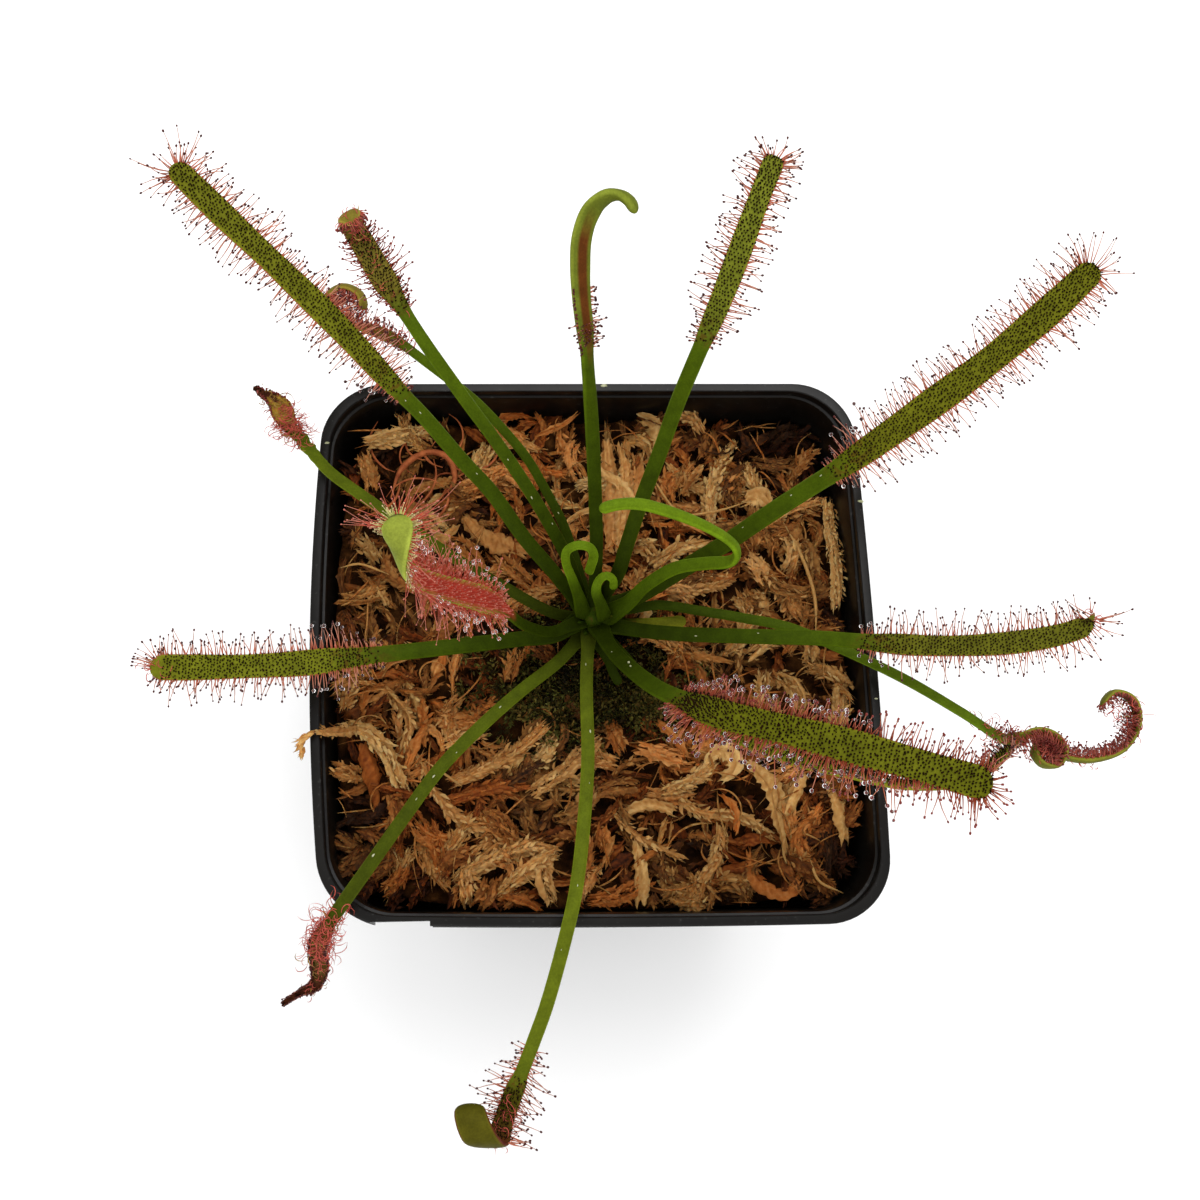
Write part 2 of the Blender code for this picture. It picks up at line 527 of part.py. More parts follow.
def make_stem(group, cutters, surface):
    stem = add_object("stem_and_roots", mesh_from_rings("stem", stem_rings(0)), group, surface)
    for number, angle in enumerate(ROOT_ANGLES):
        name = f"root_{number + 1}"
        root = add_object(name, mesh_from_rings(name, root_rings(angle, 0)), cutters)
        root.hide_render = True
        root.display_type = "WIRE"
        join = stem.modifiers.new(name, "BOOLEAN")
        join.operation = "UNION"
        join.object = root
    return stem


def stem_sockets(cutters):
    plugs = [add_object("stem_socket", mesh_from_rings("stem_socket", stem_rings(GAP)), cutters)]
    for number, angle in enumerate(ROOT_ANGLES):
        name = f"root_socket_{number + 1}"
        plugs.append(add_object(name, mesh_from_rings(name, root_rings(angle, GAP)), cutters))
    return plugs


def curve_point(points, position):
    """A smooth curve through the points (Catmull-Rom); position counts points."""
    last = len(points) - 1
    index = min(int(position), last - 1)
    t = position - index
    before = points[index - 1] if index > 0 else points[0] * 2 - points[1]
    after = points[index + 2] if index + 2 <= last else points[last] * 2 - points[last - 1]
    a, b = points[index], points[index + 1]
    return 0.5 * ((2 * a) + (b - before) * t + (2 * before - 5 * a + 4 * b - after) * t**2
                  + (3 * a - before - 3 * b + after) * t**3)


def face_direction(turns, position):
    if not turns or position <= turns[0][0]:
        return Vector(turns[0][1]) if turns else Vector((0, 0, 1))
    for (start, first), (end, second) in zip(turns, turns[1:]):
        if position <= end:
            share = (position - start) / (end - start)
            return Vector(first).lerp(Vector(second), share)
    return Vector(turns[-1][1])


def ribbon_stations(points):
    """Curve positions where a ring is set: closer together where the line bends."""
    last = len(points) - 1
    fine = []
    position = 0.0
    while position < last:
        fine.append(position)
        index = min(int(position), last - 1)
        position += FINE_STEP / max((points[index + 1] - points[index]).length, FINE_STEP)
    fine.append(float(last))
    places = [curve_point(points, at) for at in fine]
    kept = [0]
    run = 0.0
    turn = 0.0
    for i in range(1, len(fine) - 1):
        step = places[i] - places[i - 1]
        run += step.length
        turn += step.angle(places[i + 1] - places[i], 0.0)
        if run > RING_SPACING or turn > RING_TURN:
            kept.append(i)
            run = 0.0
            turn = 0.0
    kept.append(len(fine) - 1)
    return fine, places, kept


def ribbon_rings(points, size_at, turns):
    """Flattened oval rings along a line; size_at gives (width, thickness) at a curve position."""
    fine, places, kept = ribbon_stations(points)
    rings = []
    for i in kept:
        ahead = places[min(i + 1, len(fine) - 1)] - places[max(i - 1, 0)]
        along = ahead.normalized()
        facing = face_direction(turns, fine[i])
        side = along.cross(facing).normalized()
        up = side.cross(along).normalized()
        width, thick = size_at(fine[i])
        ring = []
        for corner in range(RING_SIDES):
            angle = 2 * math.pi * (corner + 0.5) / RING_SIDES
            ring.append(places[i] + side * (width / 2 * math.cos(angle))
                        + up * (thick / 2 * math.sin(angle)))
        rings.append(ring)
    return rings


def leaf_line(leaf):
    """The leaf's middle line: its foot beside the stem, then its route."""
    angle, height = leaf["base"]
    turn = math.radians(angle)
    out = stem_radius(height) + BASE_STAND_OFF
    if height > STEM_TOP_Z:
        out = TOP_STAND_OFF
    foot = (STEM_X + out * math.cos(turn), STEM_Y + out * math.sin(turn), height)
    return [Vector(point) for point in [foot] + leaf["route"]]


def leaf_size(leaf, last):
    """Width and thickness along a leaf: an even stalk, a wider blade, a round tip."""
    start = leaf["blade_from"]
    (stalk_w, stalk_t), (blade_w, blade_t) = leaf["petiole"], leaf["blade"]

    def size_at(position):
        share = min(1.0, max(0.0, (position - start) / BLADE_RUN + 0.5))
        ease = share * share * (3 - 2 * share)
        left = last - position
        rounding = math.sqrt(max(0.0, 1 - (1 - min(1.0, left / TIP_RUN)) ** 2))
        tip = TIP_SHARE + (1 - TIP_SHARE) * rounding
        return ((stalk_w + (blade_w - stalk_w) * ease) * tip,
                (stalk_t + (blade_t - stalk_t) * ease) * tip)

    return size_at


def make_leaf(name, leaf, group, surface):
    line = leaf_line(leaf)
    turns = [(at + 1, direction) for at, direction in leaf.get("face", [(0, (0, 0, 1))])]
    rings = ribbon_rings(line, leaf_size(leaf, len(line) - 1), turns)
    return add_object(name, mesh_from_rings(name, rings), group, surface)


def make_strand(name, points, size, group, surface):
    line = [Vector(point) for point in points]
    width, thick = size
    last = len(line) - 1

    def size_at(position):
        taper = 0.45 + 0.55 * math.sin(math.pi * min(1.0, max(0.0, position / last)))
        return (width * taper, thick * taper)

    return add_object(name, mesh_from_rings(name, ribbon_rings(line, size_at, [])), group, surface)


def on_moss(points):
    return [(x, y, moss_top(x, y) + rise) for x, y, rise in points]


def make_cushion(group, surface):
    """The patch of live green moss in front of the crown: a low dome on the moss."""
    centre_x, centre_y = CUSHION_CENTRE
    rings = []
    for share, lift in CUSHION_PROFILE:
        ring = []
        for i in range(16):
            angle = 2 * math.pi * i / 16
            x = centre_x + CUSHION_HALF[0] * share * math.cos(angle)
            y = centre_y + CUSHION_HALF[1] * share * math.sin(angle)
            ring.append((x, y, moss_top(x, y) + lift))
        rings.append(ring)
    return add_object("green_moss_cushion", mesh_from_rings("cushion", rings), group, surface)


def build():
    clear_scene()
    parts = new_collection("potted_cape_sundew")
    cutters = new_collection("cutters")
    cutters.hide_render = True
    black = material("pot_plastic", (0.02, 0.022, 0.021), 0.45)
    tan = material("dry_sphagnum", (0.45, 0.27, 0.12), 0.9)
    olive = material("live_moss", (0.07, 0.075, 0.012), 0.85)
    green = material("leaf_green", (0.09, 0.2, 0.015), 0.45)
    young = material("young_leaf_green", (0.18, 0.35, 0.03), 0.45)
    brown = material("stem_brown", (0.12, 0.07, 0.02), 0.7)
    rust = material("dead_leaf_rust", (0.35, 0.1, 0.03), 0.8)
    make_pot(parts, cutters, black)
    make_stem(parts, cutters, brown)
    make_moss_bed(parts, cutters, tan, stem_sockets(cutters))
    make_cushion(parts, olive)
    for name, leaf in LEAVES.items():
        is_young = name in ("leaf_young_arched", "crozier_left", "crozier_centre")
        make_leaf(name, leaf, parts, young if is_young else green)
    for name, points in STRANDS.items():
        make_strand(name, on_moss(points), STRAND_SIZE, parts, tan)
    make_strand("moss_strand_over_rim", RIM_STRAND, STRAND_SIZE, parts, tan)
    make_strand("dead_leaf", on_moss(DEAD_LEAF), DEAD_LEAF_SIZE, parts, rust)


build()
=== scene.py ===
# Potted cape sundew seen from above: a rosette of sticky leaves in sphagnum, in a thin square nursery pot.
# Shapes are worked out in millimetres, and new_piece turns them into metres.
import math

import bpy
import numpy as np
from mathutils import Matrix, Vector


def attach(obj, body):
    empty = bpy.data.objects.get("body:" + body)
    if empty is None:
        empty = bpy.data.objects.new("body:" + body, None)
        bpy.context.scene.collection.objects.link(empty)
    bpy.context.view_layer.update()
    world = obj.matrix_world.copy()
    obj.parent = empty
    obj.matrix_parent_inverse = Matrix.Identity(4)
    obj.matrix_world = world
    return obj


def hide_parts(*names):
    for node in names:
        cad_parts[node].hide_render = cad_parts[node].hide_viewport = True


MM = 0.001
DEG = math.pi / 180
TURN = 2 * math.pi
GOLDEN_TURN = 137.5 * DEG

# Camera: lens and picture in pixels; sensor, point looked at and distance in millimetres; angles in degrees
LENS_PIXELS = 1378.0
IMAGE_PIXELS = 1200.0
SENSOR = 36.0
LOOK_AT = (0.3, 6.1, 70.0)
DISTANCE = 201.7
AZIMUTH = -12.8
ELEVATION = 76.2
ROLL = 11.95
# Clipping distances, in metres
CLIP = (0.01, 10)

# Area lights: name, place, point lit, diameter in metres and power
LAMPS = [("key", (0.08, 0.27, 0.65), (0, 0, 0.06), 0.45, 2.2),
         ("fill", (-0.12, -0.4, 0.5), (0, 0, 0.04), 0.5, 0.9)]
# Half the floor's width, in millimetres
STAGE_HALF = 1500.0

# Pot
POT_TOP = 80.0
POT_HEIGHT = 70.0
POT_BASE = 60.0
COLLAR_Z = 54.0
COLLAR_DRAFT = 0.035
SHOULDER = 1.2
WALL = 0.9
FLOOR = 1.2
LIP_WIDTH = 1.3
LIP_THICK = 0.9
LIP_ROUND = 0.3
LIP_DRAFT = 0.1
SKIRT_DEPTH = 7.0
CORNER_TOP = 9.0
CORNER_TOP_INSIDE = 8.6
CORNER_BASE = 6.5
BEAD_DROP = 1.6
BEAD_STEP = 0.5
FOOT_CHAMFER = 0.8
HOLE_RADIUS = 4.0
HOLE_OFFSET = 17.0
HOLE_SIDES = 40
NOTCH_X = (-32.3, -24.1)
NOTCH_DEPTH = 0.6
CORNER_STEPS = 14
SIDE_STEPS = 24
# Heights of rings of points on the wall, and how far from a bend its neighbour ring lies
WALL_LEVELS = (3.0, 15.0, 30.0, 45.0)
BEND_GAP = 0.3
SHOULDER_Z = COLLAR_Z - 1.0
UNDER_LIP = POT_HEIGHT - LIP_THICK
# Edges are shaded sharp from this angle, in degrees
SHARP_ANGLE = 32
# How far the thin walls are sprung at the rim
BOW_LEFT = 2.1
PULL_LEFT = 0.4
BOW_RIGHT = 0.7
BOW_FRONT = 0.5
LEAN_SIDE = 0.6
LEAN_FRONT = 0.7

# Moss: heights at the walls and the crown, spread of the mound, and lumps
MOSS_EDGE_Z = 57.5
MOSS_CENTRE_Z = 60.5
MOSS_CROWN_SPREAD = 22.0
MOSS_BUMP = 0.7
# The moss climbs towards the walls
MOSS_BANK = {"left": 6.0, "right": 4.0, "back": 3.4, "front": 3.0}
MOSS_BANK_FROM = 18.0
MOSS_BANK_RUN = 17.0
# Hollows where it doesn't: x, y, half width, half depth, share taken away
MOSS_HOLLOWS = [(31, 29, 11, 9, 1.0), (-31, -31, 9, 7, 0.8)]
# The dark block under the shoots, its darkness partly painted shade: depth below the top, gap to the wall,
# squares along a side, rings below
GROUND_DROP = 1.8
GROUND_GAP = 0.35
GROUND_CELLS = 96
GROUND_LEVELS = (COLLAR_Z - 2.5, 30.0, FLOOR + 0.3)
# Room for shoots: half width where they start, corner radius, and how far the side walls are pulled in
MOSS_REACH = 38
INSIDE_CORNER = 7.5
INSIDE_LEFT = 0.6
INSIDE_RIGHT = 0.2
# Layers of dry moss: name, seed, number, height over the moss, tones, lengths, share of papery strips, and
# shoots side by side. The deeper layers have darker tones: painted shade under the layers above.
SPHAGNUM_LAYERS = [("sphagnum_low", 21, 410, -1.0, (0.16, 0.46), (3, 9), 0.3, 1),
                   ("sphagnum_middle", 22, 540, 0.0, (0.33, 0.71), (3, 9), 0.25, 1),
                   ("sphagnum_top", 23, 270, 0.9, (0.5, 0.9), (3, 8), 0.2, 2)]
# Smooth fields over the moss, as size of their lumps and seed: lie of the shoots, gaps, tone, rust, and the
# rust of the fibres
LIE_FIELD = (12.0, 31)
GAP_FIELD = (5.0, 35)
TONE_FIELD = (6, 33)
RUST_FIELD = (14.0, 32)
FIBRE_FIELD = (9, 37)
# Painted shade on the moss near the walls and in the corners, where the walls shadow it: where it starts, and
# over how much it darkens
WALL_SHADE_FROM = 32
CORNER_SHADE_FROM = 41
SHADE_RUN = 8
# Live green moss: the whole growth, and the cushion in front of the crown
GREEN_CENTRE = (-2.5, -3.0)
GREEN_HALF = (15.5, 11)
CUSHION_CENTRE = (-1.0, -7.2)
CUSHION_HALF = (11.0, 3.6)
# Numbers of things in the moss
CUSHION_TUFTS = 240
SPREAD_TUFTS = 330
FIBRES = 260
DEAD_THREADS = 16

# Stem and roots: a root's route is (distance out, drop), and the scales of old leaf bases start at SCALES_Z
STEM = (-0.6, 4.2)
STEM_BOTTOM_Z = 44.0
STEM_TOP_Z = 69.0
STEM_RADIUS_LOW = 2.4
STEM_RADIUS_TOP = 1.5
STEM_RINGS = 40
STEM_SIDES = 20
ROOT_ANGLES = (-70, 50, 170)
ROOT_Z = 46
ROOT_ROUTE = ((0, 0), (1.2, 4.9), (4.4, 9.8), (9, 14))
SCALES = 14
SCALES_Z = 61.5

# Skin of a leaf: sides of a ring, and distance between rings. The painted shade on a stalk covers its first
# STALK_RUN
LEAF_SIDES = 18
LEAF_STEP = 0.45
STALK_RUN = 45

# Tentacles: radius of a stalk near its foot, of a gland and of a drop of dew, spacing on the face, and rings
# of points in a stalk on the margin
STALK_RADIUS = 0.09
GLAND_RADIUS = 0.15
DEW_RADIUS = 0.25
FACE_SPACING = 0.43
RIM_RINGS = 4

# Leaves. base is (angle round the stem in degrees, height), and route is the middle line after the base.
# petiole and blade are (width, thickness). blade_from is where the blade starts. taper is how much of the end
# narrows. slim is (share of its width, where it ends, where the blade is full). face turns the upper side:
# (route point, direction). Route points count from 0 in face and from 1 in the others.
LEAVES = {
    "leaf_back_left_long": {
        "base": (140, 67.3), "petiole": (2.1, 1.3), "blade": (3.3, 1.5), "blade_from": 6,
        "route": [(-6.1, 8.8, 74), (-10.8, 13.2, 79), (-15, 18.3, 83), (-19, 22, 86), (-24, 26.6, 91),
                  (-28, 30, 94), (-34.5, 36.2, 98), (-41.5, 42.6, 101), (-48.7, 49.2, 103),
                  (-55.5, 56, 104)],
    },
    "leaf_back_left_rolled_tip": {
        "base": (118, 65.2), "petiole": (1.8, 1.2), "blade": (3.3, 1.4), "blade_from": 7,
        "route": [(-4.2, 11, 73), (-7.4, 15.2, 80), (-10.5, 19, 85), (-14.8, 24.4, 89),
                  (-18, 28, 92), (-23.5, 34.9, 96), (-27.3, 40.5, 98), (-29.2, 43.4, 99),
                  (-31.4, 47.2, 99.8), (-32.8, 49.4, 100.8), (-33, 49.8, 102.4), (-32.2, 48.4, 103.4)],
        "face": [(9, (0, 0, 1)), (11, (0.5, -0.8, -0.6))],
    },
    "leaf_back_left_coiled": {
        "base": (100, 63), "petiole": (1.4, 1.0), "blade": (2.2, 1.0), "blade_from": 9,
        "route": [(-1.9, 9.5, 65.5), (-4, 15.6, 68.5), (-5.3, 18.4, 70.5), (-7.8, 22.6, 73),
                  (-10.3, 26.4, 75), (-13.9, 30.3, 77), (-18, 34, 79), (-24, 38.3, 81),
                  (-29, 41.8, 82), (-33, 43.5, 82), (-36.4, 44.5, 82), (-38.4, 46, 82.3),
                  (-38.4, 48.2, 82.6), (-36.3, 49.6, 82.6), (-34, 48.6, 82.3), (-33.4, 46.4, 81.6)],
        "face": [(8, (0, 0, 1)), (10, (0.3, 0.8, 0.2)), (11, (0.9, 0.4, -0.4)), (12, (0.8, -0.6, -0.6)),
                 (13, (0, -1, -0.7)), (14, (-0.9, -0.6, -0.7)), (15, (-1, 0, -0.6))],
    },
    "leaf_left_withered": {
        "base": (165, 63), "petiole": (1.7, 1.1), "blade": (3.1, 1.2), "blade_from": 9.6, "taper": 4.5,
        "route": [(-7.7, 5.8, 65.4), (-13.2, 8.5, 67.5), (-20.3, 12.2, 70), (-25.3, 15.4, 71.2),
                  (-31.7, 19.7, 72.2), (-35, 22, 72.6), (-39.2, 25.2, 73), (-42.8, 29.4, 73.8),
                  (-44.3, 30.8, 74.6), (-45.2, 32.5, 75.4), (-46.2, 34.2, 76), (-47.7, 35.3, 76.6),
                  (-49.4, 36.3, 77.2)],
    },
    "leaf_raised": {
        "base": (200, 67.3), "petiole": (1.7, 1.1), "blade": (3.6, 1.2), "blade_from": 4,
        "route": [(-7, 1.2, 71), (-10.6, 0.4, 79), (-12.4, -0.4, 89), (-14, -1, 98),
                  (-17.2, -1.6, 105), (-20.2, -2, 110.6), (-22.4, -2.2, 115.4), (-23.8, -1.7, 119.5),
                  (-24.2, -0.5, 122.8), (-24.1, 1.2, 124), (-24.1, 2.9, 123.4)],
        "face": [(0, (0.3, 0.1, 1)), (2, (1, 0, 0.3)), (4, (1, 0.1, 0.5)), (6, (0.9, 0.2, -0.2)),
                 (7, (0.9, 0.1, -0.5)), (8, (0.6, 0.1, -0.8)), (9, (0.2, 0, -1))],
    },
    "leaf_left": {
        "base": (188, 65.2), "petiole": (2.3, 1.3), "blade": (3.5, 1.4), "blade_from": 4,
        "route": [(-6.5, 1.6, 66.5), (-11.4, 0.6, 69), (-21.3, -1.5, 74), (-34.8, -3.7, 78),
                  (-41.4, -4.6, 79), (-48, -5.1, 80), (-54.8, -5.1, 79.6), (-61.6, -4.9, 79)],
    },
    "leaf_front_left_withered": {
        "base": (-130, 63), "petiole": (1.9, 1.1), "blade": (2.6, 1.2), "blade_from": 9, "taper": 11.0,
        "route": [(-5.9, -2.1, 65), (-11.5, -7, 68), (-17.2, -12.5, 70.6), (-22.7, -18.5, 72.6),
                  (-27.3, -25, 74), (-31.3, -30.7, 74.2), (-34.6, -35.3, 74), (-36.7, -38.1, 73),
                  (-38.3, -40.3, 71), (-39.7, -42.6, 67), (-39.9, -45.3, 63), (-41, -47.6, 60),
                  (-43.5, -48.8, 58), (-46, -50.2, 57)],
    },
    "leaf_front_rolled_tip": {
        "base": (-105, 65.2), "petiole": (1.9, 1.2), "blade": (4.4, 1.2), "blade_from": 9.6,
        "slim": (0.64, 12.2, 13.6),
        "route": [(-1.7, -3.6, 67), (-1.9, -8.5, 69), (-2, -17.5, 72), (-2.9, -27.4, 74),
                  (-4.1, -35.5, 76), (-5.7, -42, 76.3), (-8, -49.8, 75), (-9.9, -54.9, 73.5),
                  (-11.5, -58.9, 71.8), (-12.7, -61.8, 70.4), (-13.6, -64.1, 69.3), (-14.3, -66.1, 69),
                  (-15, -67.5, 69.8), (-16, -67.9, 72.2), (-17, -66.9, 74.6), (-17.9, -65.2, 75.2),
                  (-18.5, -63.5, 74.4), (-18.8, -62.9, 72.8)],
        "face": [(9, (0, 0, 1)), (11, (0, 0.2, 1)), (12, (0, 0.8, 0.7)), (13, (0, 1, 0)),
                 (14, (0, 0.7, -0.7)), (15, (0, 0, -1)), (16, (0, -0.7, -0.7)), (17, (0, -1, -0.2))],
    },
    "leaf_front_right_raised": {
        "base": (-64, 67.3), "petiole": (2.4, 1.4), "blade": (3.9, 1.5), "blade_from": 4,
        "route": [(1.6, -1.2, 71), (3.3, -4.8, 77), (6.3, -10, 88), (9.8, -13.6, 97),
                  (13.2, -16.2, 103), (20, -18.8, 108), (27.4, -21.4, 111), (34.8, -23.9, 112.5),
                  (42, -26, 112)],
        "face": [(0, (0, 0.3, 1)), (2, (-0.5, 0.6, 0.8)), (4, (-0.2, 0.2, 1)), (6, (0, 0, 1))],
    },
    "leaf_front_right_thin": {
        "base": (-42, 63), "petiole": (1.5, 1.0), "blade": (2.6, 1.1), "blade_from": 5,
        "route": [(4.2, -2.2, 67.5), (5.8, -5.4, 71), (8.6, -9, 75), (12.6, -12.4, 79),
                  (16.8, -15.4, 82), (24.4, -19, 84), (32, -21.5, 85.5), (38.5, -23, 86),
                  (45.1, -23, 86), (50.1, -21.3, 85.5), (54, -18.3, 85)],
        "face": [(4, (0, 0.2, 1)), (6, (0.2, 0.9, 0.5)), (10, (-0.6, 0.7, 0.4))],
    },
    "leaf_right": {
        "base": (-18, 65.2), "petiole": (2.2, 1.3), "blade": (3.1, 1.4), "blade_from": 5, "taper": 2.6,
        "route": [(6, 2.2, 67), (11.9, 0.9, 70), (21.5, -0.4, 74), (30.9, -1.4, 77),
                  (38.7, -2.8, 80), (46.6, -3.7, 82), (54.3, -3.9, 84), (61, -3.2, 85),
                  (65.4, -2, 86), (66.6, -0.4, 87)],
    },
    "leaf_right_curled": {
        "base": (40, 63), "petiole": (1.5, 1.1), "blade": (2.6, 1.0), "blade_from": 9,
        "route": [(4.8, 5.9, 64.6), (9.5, 6.1, 66.4), (15.2, 4.8, 68), (21, 3.4, 69.4),
                  (27.9, 1.4, 71.2), (36, -2.8, 73.2), (43.5, -7.1, 74.6), (51, -11.9, 75),
                  (56.8, -15.8, 75), (59.3, -15.6, 75.6), (61.4, -14.9, 76), (63.6, -15.6, 76),
                  (65, -17.4, 75.4), (64.4, -19.4, 74.6), (62.4, -19.2, 73.8), (61.7, -17.2, 73.1),
                  (63.2, -16.2, 72.2), (66.4, -17.8, 71), (70.9, -18.4, 70.4), (75.6, -17, 70.4),
                  (78, -13.4, 71), (77.3, -10, 71.8), (74.4, -9, 72.4), (72.3, -10.8, 72.8)],
        "face": [(6, (0, 0, 1)), (8, (0, 0.6, 0.9)), (9, (0.1, -0.9, 0.4)), (10, (0, -1, 0.2)),
                 (11, (-0.5, -1, 0.1)), (12, (-1, 0, 0.1)), (13, (-0.6, 0.9, 0)), (14, (0.7, 0.8, 0)),
                 (15, (1, -0.4, 0)), (16, (0.6, 0.9, 0)), (17, (0.4, 1, 0)), (18, (0, 1, 0)),
                 (19, (-0.5, 0.9, 0)), (20, (-1, 0.2, 0)), (21, (-0.6, -1, 0)), (22, (0.2, -1, 0)),
                 (23, (0.9, -0.6, 0))],
    },
    "leaf_back_right": {
        "base": (48, 65.2), "petiole": (2.6, 1.4), "blade": (4.0, 1.5), "blade_from": 6,
        "route": [(5.4, 7, 67.4), (11.6, 9.7, 72), (17.7, 12.3, 77.4), (23.3, 15.1, 82.6),
                  (28.3, 17.5, 87), (33.1, 19.8, 91), (42.7, 25.8, 95), (50.8, 31.3, 97.5),
                  (59, 37.8, 99), (66.4, 44.4, 100)],
    },
    "leaf_back": {
        "base": (72, 67.3), "petiole": (2.1, 1.3), "blade": (2.9, 1.4), "blade_from": 7,
        "route": [(2.6, 8.8, 74), (3.8, 12, 79), (5.6, 16.8, 85), (7.7, 21.6, 91),
                  (9.5, 26, 97), (11.3, 29.5, 103), (12.5, 31.8, 106), (14.3, 35.6, 109),
                  (16.2, 40.2, 111), (18.5, 46.2, 112), (21.3, 53.2, 112)],
    },
    "leaf_back_hooked": {
        "base": (88, 69.4), "petiole": (1.9, 1.5), "blade": (2.6, 1.9), "blade_from": 6,
        "route": [(-0.4, 11.7, 76), (-0.7, 16.5, 82), (-1.1, 20, 88), (-1.8, 25, 97),
                  (-2.4, 27.8, 104), (-2.8, 30, 108.5), (-3.4, 33.5, 112), (-3.6, 36.7, 114),
                  (-3.4, 40, 115), (-2.4, 42.8, 116), (-0.5, 44.8, 116), (1.7, 45.4, 115),
                  (3.4, 44.5, 113.4)],
        "face": [(2, (0.1, -0.4, 1)), (4, (0.3, 0, 0.9)), (7, (0.4, 0, 0.9)), (9, (0.6, -0.1, 0.7)),
                 (10, (0.9, -0.3, 0)), (11, (0.2, -0.6, -0.8)), (12, (-0.3, -0.6, -0.8))],
    },
    "leaf_young_arched": {
        "base": (8, 67.3), "petiole": (1.9, 1.4), "blade": (1.7, 1.4), "blade_from": 5,
        "route": [(4.2, 5.3, 71), (6.7, 7, 75), (10.4, 8.4, 79), (14.2, 8.3, 82),
                  (17.1, 7.8, 84.6), (18, 8.2, 86.2), (17.6, 9, 88), (16, 9.9, 89.6),
                  (12.9, 11, 91.6), (8.8, 12.2, 93.2), (4.7, 13, 94.4), (1.6, 12.9, 94.8),
                  (-0.9, 12.2, 94.8)],
        "face": [(3, (0, 0, 1)), (5, (-0.9, 0.3, 0.4)), (7, (-0.5, -0.4, -0.8)), (12, (0, -0.2, -1))],
    },
    "crozier_left": {
        "base": (175, 69.5), "petiole": (1.4, 1.2), "blade": (1.3, 1.1), "blade_from": 2,
        "route": [(-2.9, 5.8, 73), (-4, 7.6, 77), (-4.9, 9, 80.4), (-4.8, 10.1, 82.6),
                  (-3.4, 10.6, 83.6), (-1.8, 10.4, 83.4), (-1.1, 9.6, 82), (-1.4, 8.7, 79.6),
                  (-1.7, 8.1, 77.6)],
    },
    "crozier_centre": {
        "base": (-20, 69.5), "petiole": (1.3, 1.1), "blade": (1.2, 1.1), "blade_from": 2,
        "route": [(0.2, 5, 72.4), (-0.5, 6.3, 74.6), (-0.1, 7.5, 76.2), (0.9, 8, 76.9), (1.9, 7.6, 76.1),
                  (2, 6.6, 74.4)],
    },
    "petiole_stub_right": {
        "base": (0, 63), "petiole": (1.8, 1.0), "blade": (1.9, 1.0), "blade_from": 1,
        "route": [(5.4, 3.7, 63.9), (9.4, 3.6, 64.8), (13.4, 3.9, 65.4)],
    },
    "petiole_stub_front": {
        "base": (-80, 63), "petiole": (1.4, 1.0), "blade": (1.3, 0.9), "blade_from": 9,
        "route": [(1.7, -1.6, 63.4), (2.4, -3.6, 63.8), (3.3, -5.4, 64)],
    },
}

YOUNG_LEAVES = ("leaf_young_arched", "crozier_left", "crozier_centre")
# Tentacles of each leaf, in millimetres and shares of its length. margin and tip are the reach of the longest
# ones, and face is the length of those on the upper side. left scales the left margin, every is the spacing
# on the margin, sparse widens that on the face, and fan is the number at the tip. lean tilts them to the tip,
# and curl bends them in. They start at first, turn short after until and end at stop, and bare is the share
# of the face without any. stout and gland scale stalks and glands, dew is the share with dew, and dark is
# whether those on the face are dark.
COMMON_FRINGE = {"left": 1.0, "every": 0.28, "sparse": 1.0, "fan": 26, "lean": 0.06, "curl": 0.0,
                 "until": 1.0, "stop": 1.0, "bare": 0.0, "stout": 1.0, "gland": 1.0, "dew": 0.6, "dark": True}
FRINGES = {
    "leaf_back_left_long": {"margin": 3.7, "tip": 4.6, "face": 0.22, "bare": 0.1, "left": 0.85,
                            "lean": -0.05},
    "leaf_back_left_rolled_tip": {"margin": 3.0, "tip": 1.4, "face": 0.7, "curl": 0.5, "until": 0.93,
                                  "every": 0.24},
    "leaf_back_left_coiled": {"margin": 2.0, "tip": 1.2, "face": 0.9, "curl": 0.7, "dark": False,
                              "dew": 0.03},
    "leaf_left_withered": {"margin": 2.4, "tip": 0.0, "face": 0.6, "curl": 0.8, "until": 0.8,
                           "dark": False},
    "leaf_raised": {"margin": 3.8, "tip": 0.0, "face": 1.0, "curl": 0.1, "every": 0.4, "until": 0.84,
                    "dark": False, "dew": 0.6, "gland": 0.8, "stout": 0.7, "sparse": 1.3},
    "leaf_left": {"margin": 3.4, "tip": 2.6, "face": 0.22, "until": 0.97},
    "leaf_front_left_withered": {"margin": 2.2, "tip": 0.0, "face": 0.6, "curl": 0.8, "until": 0.72,
                                 "dark": False},
    "leaf_front_rolled_tip": {"margin": 4.0, "tip": 0.0, "face": 0.35, "curl": 0.15, "first": 0.71,
                              "stop": 0.885, "until": 0.88, "sparse": 1.3},
    "leaf_front_right_raised": {"margin": 4.0, "tip": 3.4, "face": 0.25, "left": 0.72, "every": 0.24,
                                "dew": 0.65},
    "leaf_front_right_thin": {"margin": 2.6, "tip": 2.0, "face": 0.45, "curl": 0.2},
    "leaf_right": {"margin": 3.5, "tip": 4.4, "face": 0.22, "fan": 9, "bare": 0.06},
    "leaf_right_curled": {"margin": 2.4, "tip": 1.2, "face": 1.3, "curl": 0.4, "until": 0.93, "dark": False},
    "leaf_back_right": {"margin": 3.5, "tip": 4.8, "face": 0.22, "fan": 20},
    "leaf_back": {"margin": 2.9, "tip": 2.8, "face": 0.22},
    "leaf_back_hooked": {"margin": 3.2, "tip": 0.0, "face": 0.3, "left": 0.4, "until": 0.7, "stop": 0.76,
                         "dark": False},
}
